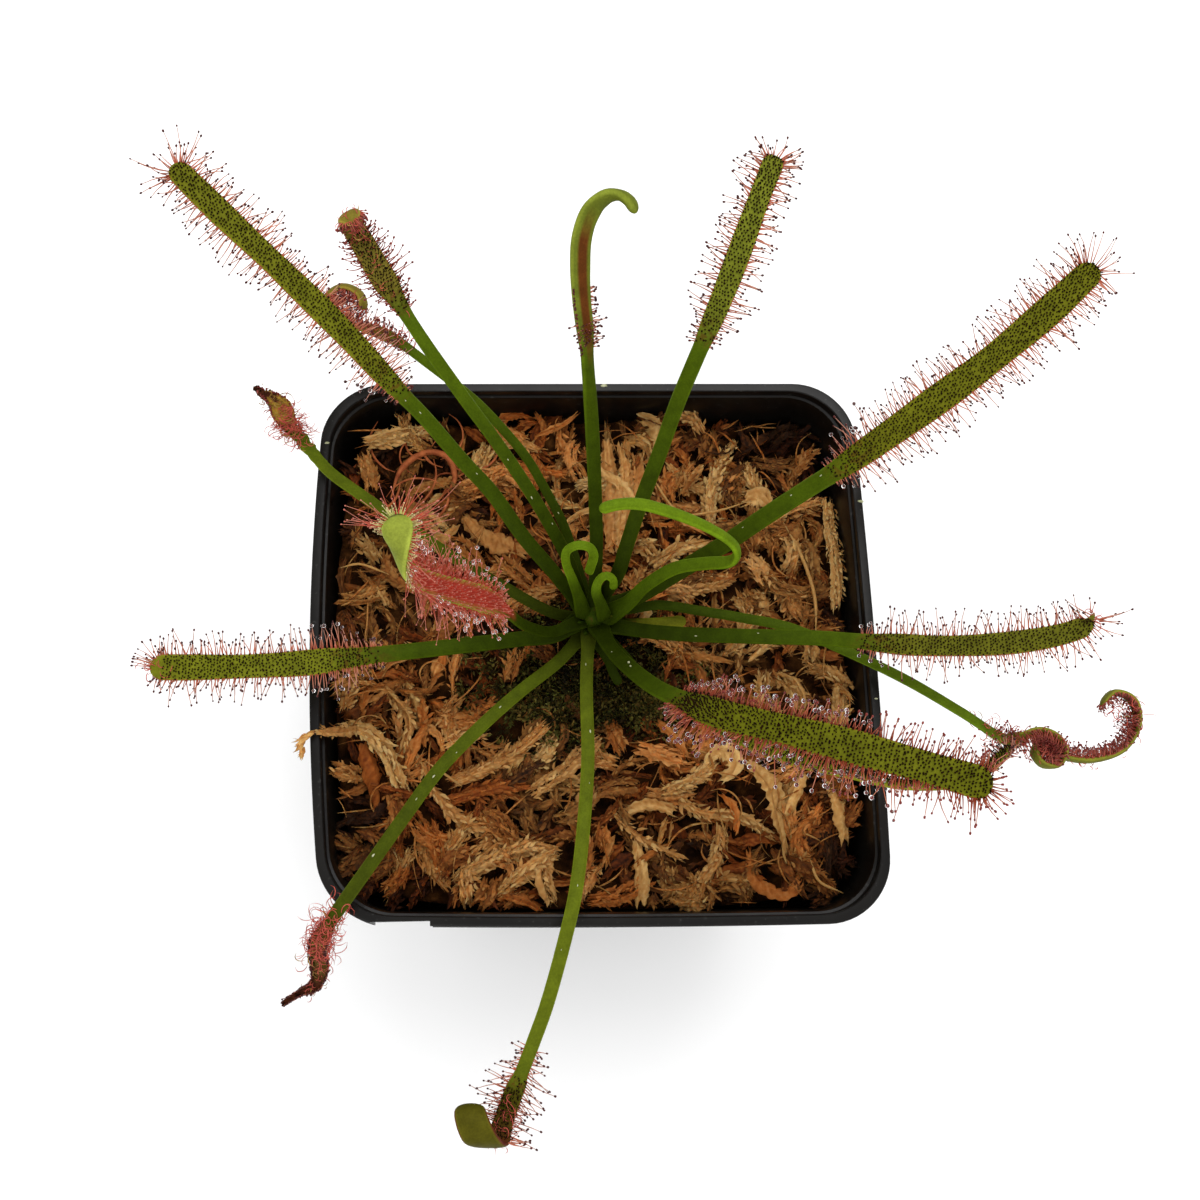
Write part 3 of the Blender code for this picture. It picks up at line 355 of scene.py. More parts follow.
# Short pale hairs round the green end of the raised leaf
SPOON_FRINGE = {"margin": 1.3, "tip": 1.2, "every": 0.08, "first": 0.84, "fan": 70, "stout": 0.6,
                "gland": 0.5, "dew": 0}
# Long red ones behind it
SPOON_HAIRS = {"margin": 5.2, "tip": 4.6, "every": 0.2, "first": 0.62, "fan": 34, "lean": 0.3,
               "stout": 0.6, "gland": 0.6, "dew": 0}
# Shrivelled tentacles: first and last share of the leaf, how far they gather in the middle of that stretch,
# number, spread of their feet, length, and how many of them are yellow
TANGLES = {
    "leaf_left": [(0.95, 1.0, 0.0, 50, 0.6, 2.2, 0.1)],
    "leaf_right": [(0.97, 1.0, 0.0, 14, 0.4, 3.2, 0.1)],
    "leaf_left_withered": [(0.84, 0.88, 0.0, 160, 0.8, 3.4, 0.05), (0.88, 0.92, 0.0, 150, 0.8, 2.8, 0.05),
                           (0.9, 0.97, 0.0, 80, 0.6, 1.6, 0.95)],
    "leaf_front_left_withered": [(0.69, 0.83, 0.0, 330, 0.7, 3.2, 0.08),
                                 (0.8, 0.93, 0.0, 110, 0.5, 1.4, 0.4)],
    "leaf_right_curled": [(0.53, 0.6, 0.0, 60, 0.5, 3.2, 0.1), (0.611, 0.72, 1.0, 90, 0.75, 1.8, 0.0),
                          (0.72, 0.9, 0.0, 70, 0.5, 1.6, 0.05), (0.88, 1.0, 0.5, 90, 0.8, 2.6, 0.05)],
    "leaf_back_left_rolled_tip": [(0.92, 1.0, 0.2, 120, 0.6, 2.2, 0.1),
                                  (0.78, 0.93, 0.0, 60, 0.8, 2.2, 0.05)],
    "leaf_back_left_coiled": [(0.68, 0.8, 0.0, 90, 0.5, 2.8, 0.05), (0.8, 1.0, 0.85, 150, 0.9, 2.2, 0.0)],
    "leaf_front_rolled_tip": [(0.8, 0.87, 0.0, 70, 0.7, 2.6, 0.0)],
}
# Pale flecks on the leaf stalks: share of the leaf, and size
FLECKS = {
    "leaf_front_left_withered": [(0.23, 0.3), (0.41, 0.36), (0.46, 0.26), (0.58, 0.4), (0.35, 0.16)],
    "leaf_front_rolled_tip": [(0.06, 0.3), (0.19, 0.34), (0.28, 0.16), (0.45, 0.2), (0.55, 0.14)],
    "leaf_front_right_raised": [(0.1, 0.2), (0.18, 0.6), (0.2, 0.4)],
    "leaf_right": [(0.2, 0.26), (0.33, 0.2)],
    "leaf_back_left_rolled_tip": [(0.25, 0.24), (0.33, 0.3), (0.42, 0.22)],
    "leaf_back_left_long": [(0.33, 0.2), (0.47, 0.26), (0.5, 0.18)],
    "leaf_back_left_coiled": [(0.22, 0.26)],
    "leaf_back_right": [(0.4, 0.24), (0.46, 0.28), (0.3, 0.18)],
}
# Pale scales of dried minerals on the pot's lip: x, y and size
LIP_SPECKS = [(1.6, 39.6, 0.7), (-39.9, 30.5, 0.5), (39.9, 21.0, 0.6), (-40, -2, 0.4), (40.2, -9, 0.35)]

# Loose strands that the CAD model has too: x, y and height over the moss, or over the floor for the rim's
STRANDS = {
    "moss_strand_back": [(12, 30, 1.0), (15, 27, 1.7), (20, 25.5, 1.0), (24, 26, 1.0)],
    "moss_strand_back_left": [(-17, 31, 1.0), (-12.5, 33, 1.8), (-8, 32, 1.0)],
    "moss_strand_right": [(25, 16, 1.0), (28, 10, 1.7), (30, 5, 1.0)],
    "moss_strand_front_right": [(10, -20, 1.0), (15, -24, 1.8), (21, -25, 1.0), (26, -28, 1.0)],
    "moss_strand_front": [(2, -24, 1.0), (6, -28, 1.8), (12, -31, 1.0)],
    "moss_strand_front_left": [(-26, -16, 1.0), (-24, -21, 1.7), (-19, -26, 1.0), (-14, -27, 1.0)],
    "moss_strand_left": [(-31, -6, 1.0), (-28, -10, 1.7), (-29, -15, 1.0)],
}
RIM_STRAND = [(-34.6, -11, 64.6), (-36.4, -12, 66.8), (-38.3, -12.6, 69.9), (-40.2, -12.9, 71.4),
              (-41.8, -14, 71.3), (-42.2, -16, 71.2)]
# The dead leaf: x, y and height over the moss
DEAD_LEAF = [(-31, 24, 0.9), (-29.5, 28.5, 1.7), (-26, 31.5, 1.2), (-22.5, 31, 0.9), (-21.5, 27.5, 1.0),
             (-24, 24.5, 1.0)]

# Lighter and darker places in the moss: x, y, size across and along, change of tone. The dark ones in the
# four corners and just in front of the crown are painted shade.
MOSS_PATCHES = [(-1, 26, 13, 9, 0.2), (2, -23, 30, 11, -0.1), (-32, -10, 8, 9, 0.12), (29, -18, 9, 8, 0.03),
                (31, 33, 11, 9, -0.55), (0, -6, 8, 6, -0.15), (-36, -33, 10, 9, -0.45),
                (-36, 36, 9, 9, -0.35), (38, -35, 9, 9, -0.3), (-22, 2, 6, 8, -0.14), (15, -5, 7, 6, -0.16),
                (-14, 18, 5, 6, -0.14), (20, 12, 9, 7, -0.08), (-26, 28, 9, 7, -0.12),
                (-10, -29, 5, 4, -0.2), (14, -31, 6, 4, -0.16), (22, -27, 4, 4, -0.16)]
# Moss shoots that stand out in the photograph: width, tone, rust, height over the moss, then places on it
MARKED_SHOOTS = [
    (1.3, 0.88, 0.05, 2.2, [(-36.6, -11.1), (-33.4, -12.5), (-30.7, -15.5), (-28.9, -20.3)]),
    (1.2, 0.8, 0.3, 1.8, [(-37.2, -8.6), (-36.6, -6.4), (-36.2, -3.9)]),
    (0.7, 0.72, 0.1, 0.9, [(-31, -36), (-29.6, -33.2), (-29.9, -30.7), (-31.4, -28.4)]),
    (0.6, 0.74, 0.1, 1.1, [(-29.6, -33.2), (-28.5, -30.7), (-27.2, -28.5)]),
    (1.3, 0.42, 1.0, 2.2, [(-22.6, -22.2), (-17.2, -20.5), (-10.7, -19.7)]),
    (1.2, 0.76, 0.3, 2.6, [(-21.6, -19), (-17.2, -17.3), (-12.3, -15), (-7.9, -11.2)]),
    (1.2, 0.78, 0.25, 2.4, [(-9.9, -20.8), (-6.3, -18.6), (-2.7, -15.6), (0.3, -13.1)]),
    (1.1, 0.74, 0.2, 1.6, [(-23.9, -30.8), (-20.7, -27.4), (-19, -24.6)]),
    (1.4, 0.8, 0.25, 1.9, [(-21.1, -33.4), (-16.1, -30.7), (-10.2, -28.8), (-6.5, -29.7)]),
    (1.1, 0.82, 0.2, 2.1, [(-14.6, -35.4), (-11, -32.5), (-6.5, -29.7)]),
    (1.2, 0.78, 0.25, 1.6, [(-8.1, -29.7), (-8.1, -33.7), (-7.1, -36.8)]),
    (1.2, 0.7, 0.35, 1.2, [(-26.2, -27.9), (-24.4, -31.6), (-22.4, -34.2)]),
    (1.2, 0.55, 0.95, 1.4, [(-1.7, -36.8), (2.7, -36), (7.2, -33.9)]),
    (1.2, 0.86, 0.1, 1.9, [(37, 23.8), (36.8, 18.1), (37, 10.9), (36.6, 6.1)]),
    (1.2, 0.7, 0.6, 1.4, [(31.8, 28.7), (33.7, 31.2), (35.7, 32.9)]),
    (1.1, 0.78, 0.4, 1.6, [(27.5, 20.6), (31.5, 23), (36.3, 24.1)]),
    (1.6, 0.85, 0.1, 2.2, [(18.4, 20.6), (18.6, 25.5), (20.4, 30.4), (22.6, 33.7)]),
    (1.3, 0.82, 0.15, 2.0, [(27.6, 23.8), (25.4, 27.1), (24.5, 30.7)]),
    (1.4, 0.8, 0.25, 1.6, [(17.1, 35.4), (15.6, 37.4), (12.5, 37.6)]),
    (1.5, 0.86, 0.1, 1.8, [(9.3, 13.9), (13.3, 16.2), (17.2, 17.4)]),
    (1.4, 0.78, 0.3, 1.6, [(9.2, 8.3), (14.6, 9.8), (21.6, 11.9)]),
    (1.5, 0.86, 0.1, 2.4, [(-34.5, 32.3), (-29.9, 33.9), (-25, 35)]),
    (1.3, 0.82, 0.15, 2.0, [(33.1, -16.9), (35.8, -10.9), (36.6, -4.8)]),
    (1.3, 0.84, 0.12, 2.4, [(10, -21), (14, -19.4), (17.5, -16.5)]),
    (1.3, 0.78, 0.2, 2.0, [(18.3, -26.5), (17, -31), (14.2, -35)]),
    (1.2, 0.6, 0.85, 1.6, [(33, -24), (29.5, -28.5), (31.5, -33)]),
]
# Papery strips that stand out, with the same numbers
MARKED_SHEETS = [
    (2.6, 0.8, 0.35, 2.0, [(2.2, 33.5), (2.6, 27.2), (2.8, 21.5), (2.4, 15.5)]),
    (2.4, 0.86, 0.2, 2.5, [(4.6, 32.5), (5.2, 28.0), (4.6, 22.5), (3.9, 16.5)]),
    (2.2, 0.74, 0.5, 2.2, [(6.8, 31), (7.2, 25.5), (6.4, 20.5), (5.2, 15.0)]),
    (2.0, 0.9, 0.1, 3.0, [(0.2, 29), (3.8, 26.4), (6.9, 22.8)]),
    (3.0, 0.88, 0.05, 2.0, [(7.7, 37), (10, 35.4), (9.4, 31.5)]),
    (2.8, 0.84, 0.1, 2.0, [(23.7, 23.8), (26.1, 24.7), (28.4, 23)]),
    (2.6, 0.9, 0.0, 2.4, [(16.4, -17.4), (17.6, -15.2), (20, -15.6), (20.4, -17.8), (18.4, -19.2)]),
    (2.6, 0.82, 0.05, 2.2, [(22.5, -16.5), (25.6, -20.5), (26.8, -26.5), (27.6, -31)]),
    (2.2, 0.84, 0.05, 2.0, [(30.5, -18.5), (28.6, -22.5), (27.2, -26)]),
    (2.2, 0.86, 0.05, 1.8, [(5.2, -28), (6, -33), (5.8, -37)]),
    (2.4, 0.78, 0.1, 2.0, [(34.5, -20.5), (35.6, -25), (36, -29)]),
    (1.5, 0.9, 0.0, 3.4, [(6.8, 8), (7.6, 6.1), (6.7, 3.6)]),
    (3.0, 0.45, 1.0, 1.2, [(-34.5, -14), (-33.2, -18), (-32.4, -23)]),
    (2.8, 0.4, 0.9, 1.0, [(24, -35), (19.5, -33), (15, -36)]),
    (2.0, 0.6, 0.85, 1.6, [(22.3, -30), (23.2, -34.5), (27, -36), (30, -32.5)]),
    (2.4, 0.82, 0.1, 1.9, [(11.5, -24), (7.5, -23), (3.5, -24.4)]),
    (2.6, 0.7, 0.3, 1.6, [(-20, 22), (-16.5, 18.5), (-11, 16)]),
]
# Thin dry threads: radius, height over the moss, then places on it
THREADS = [
    (0.28, 2.6, [(29.8, 20.6), (31.8, 14.1), (33.3, 7.7), (33.4, 1.5)]),
    (0.2, 3.0, [(-25.5, -16.2), (-22.5, -18.2), (-20.2, -19.8)]),
    (0.22, 2.8, [(30.6, -31.4), (31.6, -34.6), (35, -36.4)]),
    (0.18, 3.0, [(-38, 12), (-35, 12.8), (-31, 11.6)]),
    (0.2, 3.0, [(8, 30), (13, 22.5), (18.5, 22), (25, 24)]),
]

# A pointed moss leaf, as places along, across and over its middle line, and the columns of a papery strip
SHOOT_LEAF = np.array([(0, -0.7, -0.06), (0, 0.7, -0.06), (0.4, -1, -0.1), (0.42, 0, 0.1), (0.4, 1, -0.1),
                       (0.76, -0.6, -0.02), (0.76, 0.6, -0.02), (1.05, 0, 0.14)])
SHOOT_FACES = np.array([(0, 1, 3), (0, 3, 2), (1, 4, 3), (2, 3, 5), (3, 6, 5), (3, 4, 6), (5, 6, 7)])
SHEET_COLUMNS = 7

# Colours of moss from dark to light, for straw and for rusty shoots
DRY_MOSS = ([(0.0, (0.012, 0.004, 0.0008)), (0.3, (0.08, 0.028, 0.006)), (0.6, (0.215, 0.09, 0.021)),
             (0.85, (0.35, 0.19, 0.058)), (1.0, (0.48, 0.3, 0.11))],
            [(0.0, (0.014, 0.003, 0.0005)), (0.3, (0.12, 0.025, 0.003)), (0.6, (0.27, 0.075, 0.012)),
             (1.0, (0.46, 0.18, 0.046))])
LIVE_MOSS = ([(0.0, (0.003, 0.0025, 0.0005)), (0.4, (0.018, 0.017, 0.002)), (0.7, (0.06, 0.06, 0.008)),
              (1.0, (0.17, 0.15, 0.03))],
             [(0.0, (0.005, 0.002, 0.0005)), (0.5, (0.04, 0.016, 0.003)), (1.0, (0.16, 0.07, 0.015))])
# Painted shade along a leaf stalk's first stretch, darkest at the crown under the rosette: place and
# brightness. The last one also darkens the far end.
OLD_PAINTED_SHADE = ((0.0, 0.25), (0.12, 0.3), (0.35, 0.42), (0.65, 0.7), (1.0, 1.0))
YOUNG_PAINTED_SHADE = ((0.0, 0.25), (0.08, 0.36), (0.2, 0.55), (0.5, 0.85), (1.0, 1.0))
PALE_PAINTED_SHADE = ((0.0, 0.3), (0.1, 0.6), (0.3, 0.85), (1.0, 1.0))
FADING_PAINTED_SHADE = ((0.0, 0.3), (0.1, 0.6), (0.4, 0.9), (0.8, 0.7), (1.0, 0.55))
STREAK_BROWN = (0.08, 0.025, 0.005)

# A small ball of eight faces, for the glands on the face
DIAMOND = 1.22 * np.array([(1, 0, 0), (0, 1, 0), (0, 0, 1), (-1, 0, 0), (0, -1, 0), (0, 0, -1)], float)
DIAMOND_FACES = np.array([(0, 1, 2), (1, 3, 2), (3, 4, 2), (4, 0, 2), (1, 0, 5), (3, 1, 5), (4, 3, 5),
                          (0, 4, 5)])


# Meshes

def new_piece(name, points, faces, materials, slots=None, **values):
    """A mesh object in millimetres; slots gives each face's material, values what each point stores."""
    mesh = bpy.data.meshes.new(name)
    mesh.from_pydata((np.asarray(points) * MM).tolist(), [], [list(face) for face in faces])
    for each in materials:
        mesh.materials.append(each)
    if slots is not None:
        mesh.polygons.foreach_set("material_index", np.asarray(slots, np.int32))
    for label, numbers in values.items():
        store = mesh.attributes.new(label, "FLOAT", "POINT")
        store.data.foreach_set("value", np.asarray(numbers, np.float32))
    mesh.shade_smooth()
    thing = bpy.data.objects.new(name, mesh)
    bpy.context.scene.collection.objects.link(thing)
    return thing


def settle(thing, slot, *nodes):
    """Rides on the pot's body and stands for its CAD nodes, which it hides; slot is not used."""
    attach(thing, "root")
    if nodes:
        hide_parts(*nodes)


def unit(vectors):
    return vectors / np.maximum(np.linalg.norm(vectors, axis=-1, keepdims=True), 1e-9)


def ring_faces(rings, sides, first=0):
    """Quads between rings of points that follow each other, numbered from first."""
    start = first + sides * np.arange(rings - 1)[:, None]
    here = np.arange(sides)[None, :]
    after = (here + 1) % sides
    return np.stack([start + here, start + after, start + sides + after, start + sides + here],
                    axis=-1).reshape(-1, 4)


def tube_faces(rings, sides, first=0):
    """The same with a face at each end, so that it is closed."""
    last = first + rings * sides
    ends = [list(range(first + sides - 1, first - 1, -1)), list(range(last - sides, last))]
    return ring_faces(rings, sides, first).tolist() + ends


def repeated(faces, size, number, first=0):
    """Faces of a shape of size points, for number such shapes, numbered from first."""
    start = first + size * np.arange(number)[:, None, None]
    return (start + faces[None]).reshape(-1, faces.shape[1])


def shifted(faces, first):
    return [[corner + first for corner in face] for face in faces]


class Line:
    """A smooth line through points, with the direction, side and upper side at every place on it."""

    def __init__(self, points, turns=(), spacing=0.25):
        points = np.asarray(points, float)
        before = np.vstack([2 * points[0] - points[1], points])
        around = np.vstack([before, 2 * points[-1] - points[-2]])
        places, marks = [], []
        for i in range(len(points) - 1):
            p0, p1, p2, p3 = around[i:i + 4]
            count = max(2, math.ceil(np.linalg.norm(p2 - p1) / spacing))
            t = np.arange(count)[:, None] / count
            places.append(0.5 * (2 * p1 + (p2 - p0) * t + (2 * p0 - 5 * p1 + 4 * p2 - p3) * t**2
                                 + (3 * p1 - p0 - 3 * p2 + p3) * t**3))
            marks.append(i + t[:, 0])
        self.place = np.vstack(places + [points[-1:]])
        self.mark = np.concatenate(marks + [[len(points) - 1.0]])
        steps = np.linalg.norm(np.diff(self.place, axis=0), axis=1)
        self.run = np.concatenate([[0.0], np.cumsum(steps)])
        self.length = self.run[-1]
        self.along = unit(np.gradient(self.place, self.run, axis=0))
        facing = np.array([[0.0, 0.0, 1.0]])
        if len(turns):
            where = [turn[0] for turn in turns]
            ways = np.array([turn[1] for turn in turns], float)
            facing = np.stack([np.interp(self.mark, where, ways[:, k]) for k in range(3)], axis=1)
        self.side = unit(np.cross(self.along, np.broadcast_to(facing, self.along.shape)))
        self.up = np.cross(self.side, self.along)

    def _between(self, field, run):
        return np.stack([np.interp(run, self.run, field[:, k]) for k in range(3)], axis=-1)

    def at(self, run):
        """Place, direction, side and up at distances along the line."""
        return (self._between(self.place, run), unit(self._between(self.along, run)),
                unit(self._between(self.side, run)), unit(self._between(self.up, run)))

    def run_of(self, mark):
        return np.interp(mark, self.mark, self.run)


def tubes(routes, radius, sides=6, spacing=0.35):
    """Round tubes along routes, each with its radius, tapered at both ends, as points and faces."""
    points, faces, count = [], [], 0
    turn = TURN * np.arange(sides) / sides
    for route, thick in zip(routes, radius):
        line = Line(route, spacing=spacing)
        share = line.run / line.length
        size = thick * np.clip(4 * np.minimum(share, 1 - share), 0.3, 1.0)
        around = (np.cos(turn)[None, :, None] * line.side[:, None]
                  - np.sin(turn)[None, :, None] * line.up[:, None])
        ring = line.place[:, None] + size[:, None, None] * around
        points.append(ring.reshape(-1, 3))
        faces += tube_faces(len(share), sides, count)
        count += len(share) * sides
    return np.vstack(points), faces


# Materials

def new_material(name, roughness=0.5, gloss=0.5, **settings):
    """An empty material, its node tree and its shader."""
    made = bpy.data.materials.new(name)
    made.use_nodes = True
    shader = made.node_tree.nodes["Principled BSDF"]
    shader.inputs["Roughness"].default_value = roughness
    shader.inputs["Specular IOR Level"].default_value = gloss
    for label, number in settings.items():
        shader.inputs[label.replace("_", " ")].default_value = number
    return made, made.node_tree, shader


def feed(tree, socket, value):
    """Gives a socket what it takes: another socket, a number or a colour."""
    if isinstance(value, bpy.types.NodeSocket):
        tree.links.new(value, socket)
    else:
        socket.default_value = (*value, 1.0) if socket.type == "RGBA" else value


def node(tree, kind, inputs=(), **settings):
    """A new node; inputs are (name or number, value)."""
    made = tree.nodes.new("ShaderNode" + kind)
    for label, value in settings.items():
        setattr(made, label, value)
    for label, value in inputs:
        feed(tree, made.inputs[label], value)
    return made


def noise(tree, scale, detail=3, stretch=None):
    """Noise in the object's own space; scale counts lumps per metre."""
    place = node(tree, "TexCoord").outputs["Object"]
    if stretch:
        place = node(tree, "Mapping", [("Vector", place), ("Scale", stretch)]).outputs["Vector"]
    inputs = [("Vector", place), ("Scale", scale), ("Detail", detail), ("Roughness", 0.55)]
    return node(tree, "TexNoise", inputs).outputs["Fac"]


def stored(tree, label):
    """A number that the mesh keeps at its points."""
    return node(tree, "Attribute", attribute_name=label).outputs["Fac"]


def ramp(tree, factor, stops):
    """Colours by a factor: stops are (place, colour), and a number is a grey."""
    made = node(tree, "ValToRGB", [("Fac", factor)])
    band = made.color_ramp
    while len(band.elements) < len(stops):
        band.elements.new(0.5)
    for element, (place, colour) in zip(band.elements, stops):
        element.position = place
        element.color = (*(colour if isinstance(colour, tuple) else [colour] * 3), 1.0)
    return made.outputs["Color"]


def cloudy(tree, scale, detail, first, second, low=0.3, high=0.7):
    """Two colours or greys in lumps."""
    return ramp(tree, noise(tree, scale, detail), [(low, first), (high, second)])


def maths(tree, kind, first, second, clamp=False):
    return node(tree, "Math", [(0, first), (1, second)], operation=kind, use_clamp=clamp).outputs["Value"]


def times(tree, first, second):
    return maths(tree, "MULTIPLY", first, second)


def mixed(tree, factor, first, second, blend="MIX"):
    """Two colours mixed; each is a socket or a colour."""
    return node(tree, "Mix", [(0, factor), (6, first), (7, second)], data_type="RGBA",
                blend_type=blend).outputs[2]


def shaded(tree, colour, shade):
    """A colour made darker or lighter by another."""
    return mixed(tree, 1.0, colour, shade, "MULTIPLY")


def paint(tree, shader, colour):
    tree.links.new(colour, shader.inputs["Base Color"])


def bumped(tree, shader, height, strength, distance):
    made = node(tree, "Bump", [("Strength", strength), ("Distance", distance), ("Height", height)])
    tree.links.new(made.outputs["Normal"], shader.inputs["Normal"])


def roughened(tree, shader, factor, low, high):
    """Roughness that wanders between two values."""
    made = node(tree, "MapRange", [("To Min", low), ("To Max", high), ("Value", factor)])
    tree.links.new(made.outputs["Result"], shader.inputs["Roughness"])


def cloudy_material(name, roughness, gloss, scale, detail, first, second, **settings):
    """A material of two colours in lumps."""
    made, tree, shader = new_material(name, roughness, gloss, **settings)
    paint(tree, shader, cloudy(tree, scale, detail, first, second))
    return made


def plastic_material():
    """Thin black thermoformed plastic: satin, a little dusty, with faint flow lines."""
    made, tree, shader = new_material("pot_plastic_finish", 0.35, 0.16, IOR=1.5)
    colour = cloudy(tree, 120, 5, (0.002, 0.0015, 0.001), (0.006, 0.005, 0.004), 0.3, 0.75)
    dust = cloudy(tree, 1400, 2, 0, (0.04, 0.04, 0.037), 0.64, 0.74)
    paint(tree, shader, mixed(tree, 0.5, colour, dust, "ADD"))
    roughened(tree, shader, noise(tree, 260, 4), 0.22, 0.4)
    bumped(tree, shader, noise(tree, 900, 4, stretch=(1, 1, 0.3)), 0.12, 0.0002)
    return made


def stalk_and_blade(tree, blade, stalk, streak, painted_shade):
    """Colour along the leaf: painted crown shade, painted rim highlight, brown streaks where the blade
    starts.
    """
    blade_share = stored(tree, "blade")
    # The stalk's colour with painted shade, darkest at the crown
    along = [(at, tuple(shade * part for part in stalk)) for at, shade in painted_shade]
    body = mixed(tree, blade_share, ramp(tree, stored(tree, "run"), along), blade)
    # The margin is lightened and cooled as a painted rim highlight
    body = shaded(tree, body, ramp(tree, stored(tree, "across"), [(0.78, 1), (0.97, (1.6, 1.6, 1.8))]))
    hump = times(tree, times(tree, blade_share, maths(tree, "SUBTRACT", 1.0, blade_share)), 4.0)
    marks = times(tree, hump, cloudy(tree, 1200, 2, 0, 1, 0.5, 0.6))
    return mixed(tree, times(tree, marks, streak), body, STREAK_BROWN)


def face_window(tree, first, last):
    """1 on the leaf's upper side between two shares of its length, and 0 elsewhere."""
    whole = stored(tree, "whole")
    window = times(tree, ramp(tree, whole, [(first, 0), (first + 0.08, 1)]),
                   ramp(tree, whole, [(last - 0.06, 1), (last, 0)]))
    return times(tree, window, stored(tree, "upper"))


def withered_end(tree, body, tip, tip_from):
    """The leaf's end from tip_from on, blotched in two tones of the tip's colour."""
    wither = maths(tree, "ADD", stored(tree, "whole"), times(tree, noise(tree, 900), 0.1))
    gone = ramp(tree, wither, [(tip_from, 0), (min(1.0, tip_from + 0.06), 1)])
    pale = tuple(min(1, 2.2 * part) for part in tip)
    return mixed(tree, gone, body, cloudy(tree, 1300, 4, tip, pale, 0.35, 0.65))


def leaf_material(name, blade, stalk=(0.051, 0.081, 0.0018), streak=0.6, inner=None, groove=None,
                  groove_edge=(0.35, 0.62), tip=None, tip_from=0.9, face_from=0.5, face_until=1.2,
                  painted_shade=OLD_PAINTED_SHADE):
    """Green leaf: painted shade at the crown, olive blade, brown streaks where the blade starts, painted rim
    highlight.

    inner colours the whole upper side and groove its middle, out to groove_edge, from face_from to face_until
    of the length. tip is the colour of the end.
    """
    made, tree, shader = new_material(name, 0.5, 0.025)
    body = stalk_and_blade(tree, blade, stalk, streak, painted_shade)
    window = face_window(tree, face_from, face_until)
    if inner:
        body = mixed(tree, window, body, inner)
    if groove:
        middle = ramp(tree, stored(tree, "across"), [(groove_edge[0], 1), (groove_edge[1], 0)])
        body = mixed(tree, times(tree, window, middle), body, groove)
    body = shaded(tree, body, cloudy(tree, 500, 4, 0.75, 1.2, 0.25, 0.75))
    body = shaded(tree, body, cloudy(tree, 4000, 2, 0.88, 1.1))
    if tip:
        body = withered_end(tree, body, tip, tip_from)
    paint(tree, shader, body)
    roughened(tree, shader, noise(tree, 900), 0.45, 0.65)
    bumped(tree, shader, noise(tree, 1600), 0.15, 0.00015)
    return made


def stalk_material(name, base, middle, end):
    """Tentacle stalks, red at the foot and pale under the gland."""
    made, tree, shader = new_material(name, 0.4, 0.1)
    colour = ramp(tree, stored(tree, "reach"), [(0.0, base), (0.5, middle), (1.0, end)])
    paint(tree, shader, shaded(tree, colour, cloudy(tree, 700, 2, 0.75, 1.15)))
    return made


def gland_material(name, dark, light, gloss=0.15):
    return cloudy_material(name, 0.4, gloss, 900, 2, dark, light)


def sphagnum_material(name, colours):
    """Bog moss, painted darker as shade where it lies deep, that lets a little light through."""
    made, tree, shader = new_material(name, 0.75, 0.1, Subsurface_Weight=0.55, Subsurface_Scale=0.0008,
                                      Subsurface_Radius=(1.0, 0.5, 0.18))
    shader.subsurface_method = "BURLEY"
    grain = times(tree, maths(tree, "SUBTRACT", noise(tree, 1500), 0.5), 0.35)
    tone = maths(tree, "ADD", stored(tree, "tone"), grain, clamp=True)
    straw, rust = (ramp(tree, tone, stops) for stops in colours)
    paint(tree, shader, mixed(tree, stored(tree, "rust"), straw, rust))
    bumped(tree, shader, noise(tree, 3000, 2), 0.25, 0.0002)
    return made


def ground_material():
    """Dark wet moss in the gaps, painted darker still as the shade between the shoots."""
    made, tree, shader = new_material("moss_ground", 0.9, 0.05)
    # Near black: the shade in the gaps is painted into these colours
    stops = [(0.35, (0.006, 0.002, 0.0005)), (0.55, (0.03, 0.01, 0.002)), (0.75, (0.09, 0.034, 0.008))]
    paint(tree, shader, ramp(tree, noise(tree, 350, 5), stops))
    bumped(tree, shader, noise(tree, 900, 5), 0.8, 0.0008)
    return made


# Pot

def sprung(points):
    """Points of the square pot, moved with its thin walls: they bow more towards the rim."""
    x, y, z = np.moveaxis(np.asarray(points, float), -1, 0)
    half = POT_TOP / 2
    along_x, along_y = x / half, y / half
    rise = (z / POT_HEIGHT) ** 2
    bow = np.where(x > 0, BOW_RIGHT, BOW_LEFT)
    across = bow * along_x * abs(along_x) * (1 - along_y**2) - LEAN_SIDE * along_y * abs(along_x)
    across = across + np.where(x < 0, PULL_LEFT * abs(along_x), 0.0)
    front = -BOW_FRONT * along_y**2 * (1 - along_x**2) + LEAN_FRONT * along_x * along_y
    return np.stack([x + rise * across, y + rise * np.where(y < 0, front, 0.0), z], axis=-1)


def square_ring(half, corner, z):
    """Points round a square with round corners, anticlockwise, sprung like the pot."""
    middle = half - corner
    angles = np.arange(CORNER_STEPS + 1) * math.pi / 2 / CORNER_STEPS
    arc = np.stack([middle + corner * np.cos(angles), middle + corner * np.sin(angles)], axis=1)
    slide = middle * (1 - 2 * np.arange(1, SIDE_STEPS) / SIDE_STEPS)
    flat = np.stack([slide, np.full(len(slide), half)], axis=1)
    quarter = np.vstack([arc, flat])
    ring = []
    for turn in range(4):
        c, s = math.cos(turn * math.pi / 2), math.sin(turn * math.pi / 2)
        ring.append(quarter @ np.array([[c, s], [-s, c]]))
    ring = np.vstack(ring)
    return sprung(np.column_stack([ring, np.full(len(ring), z)]))


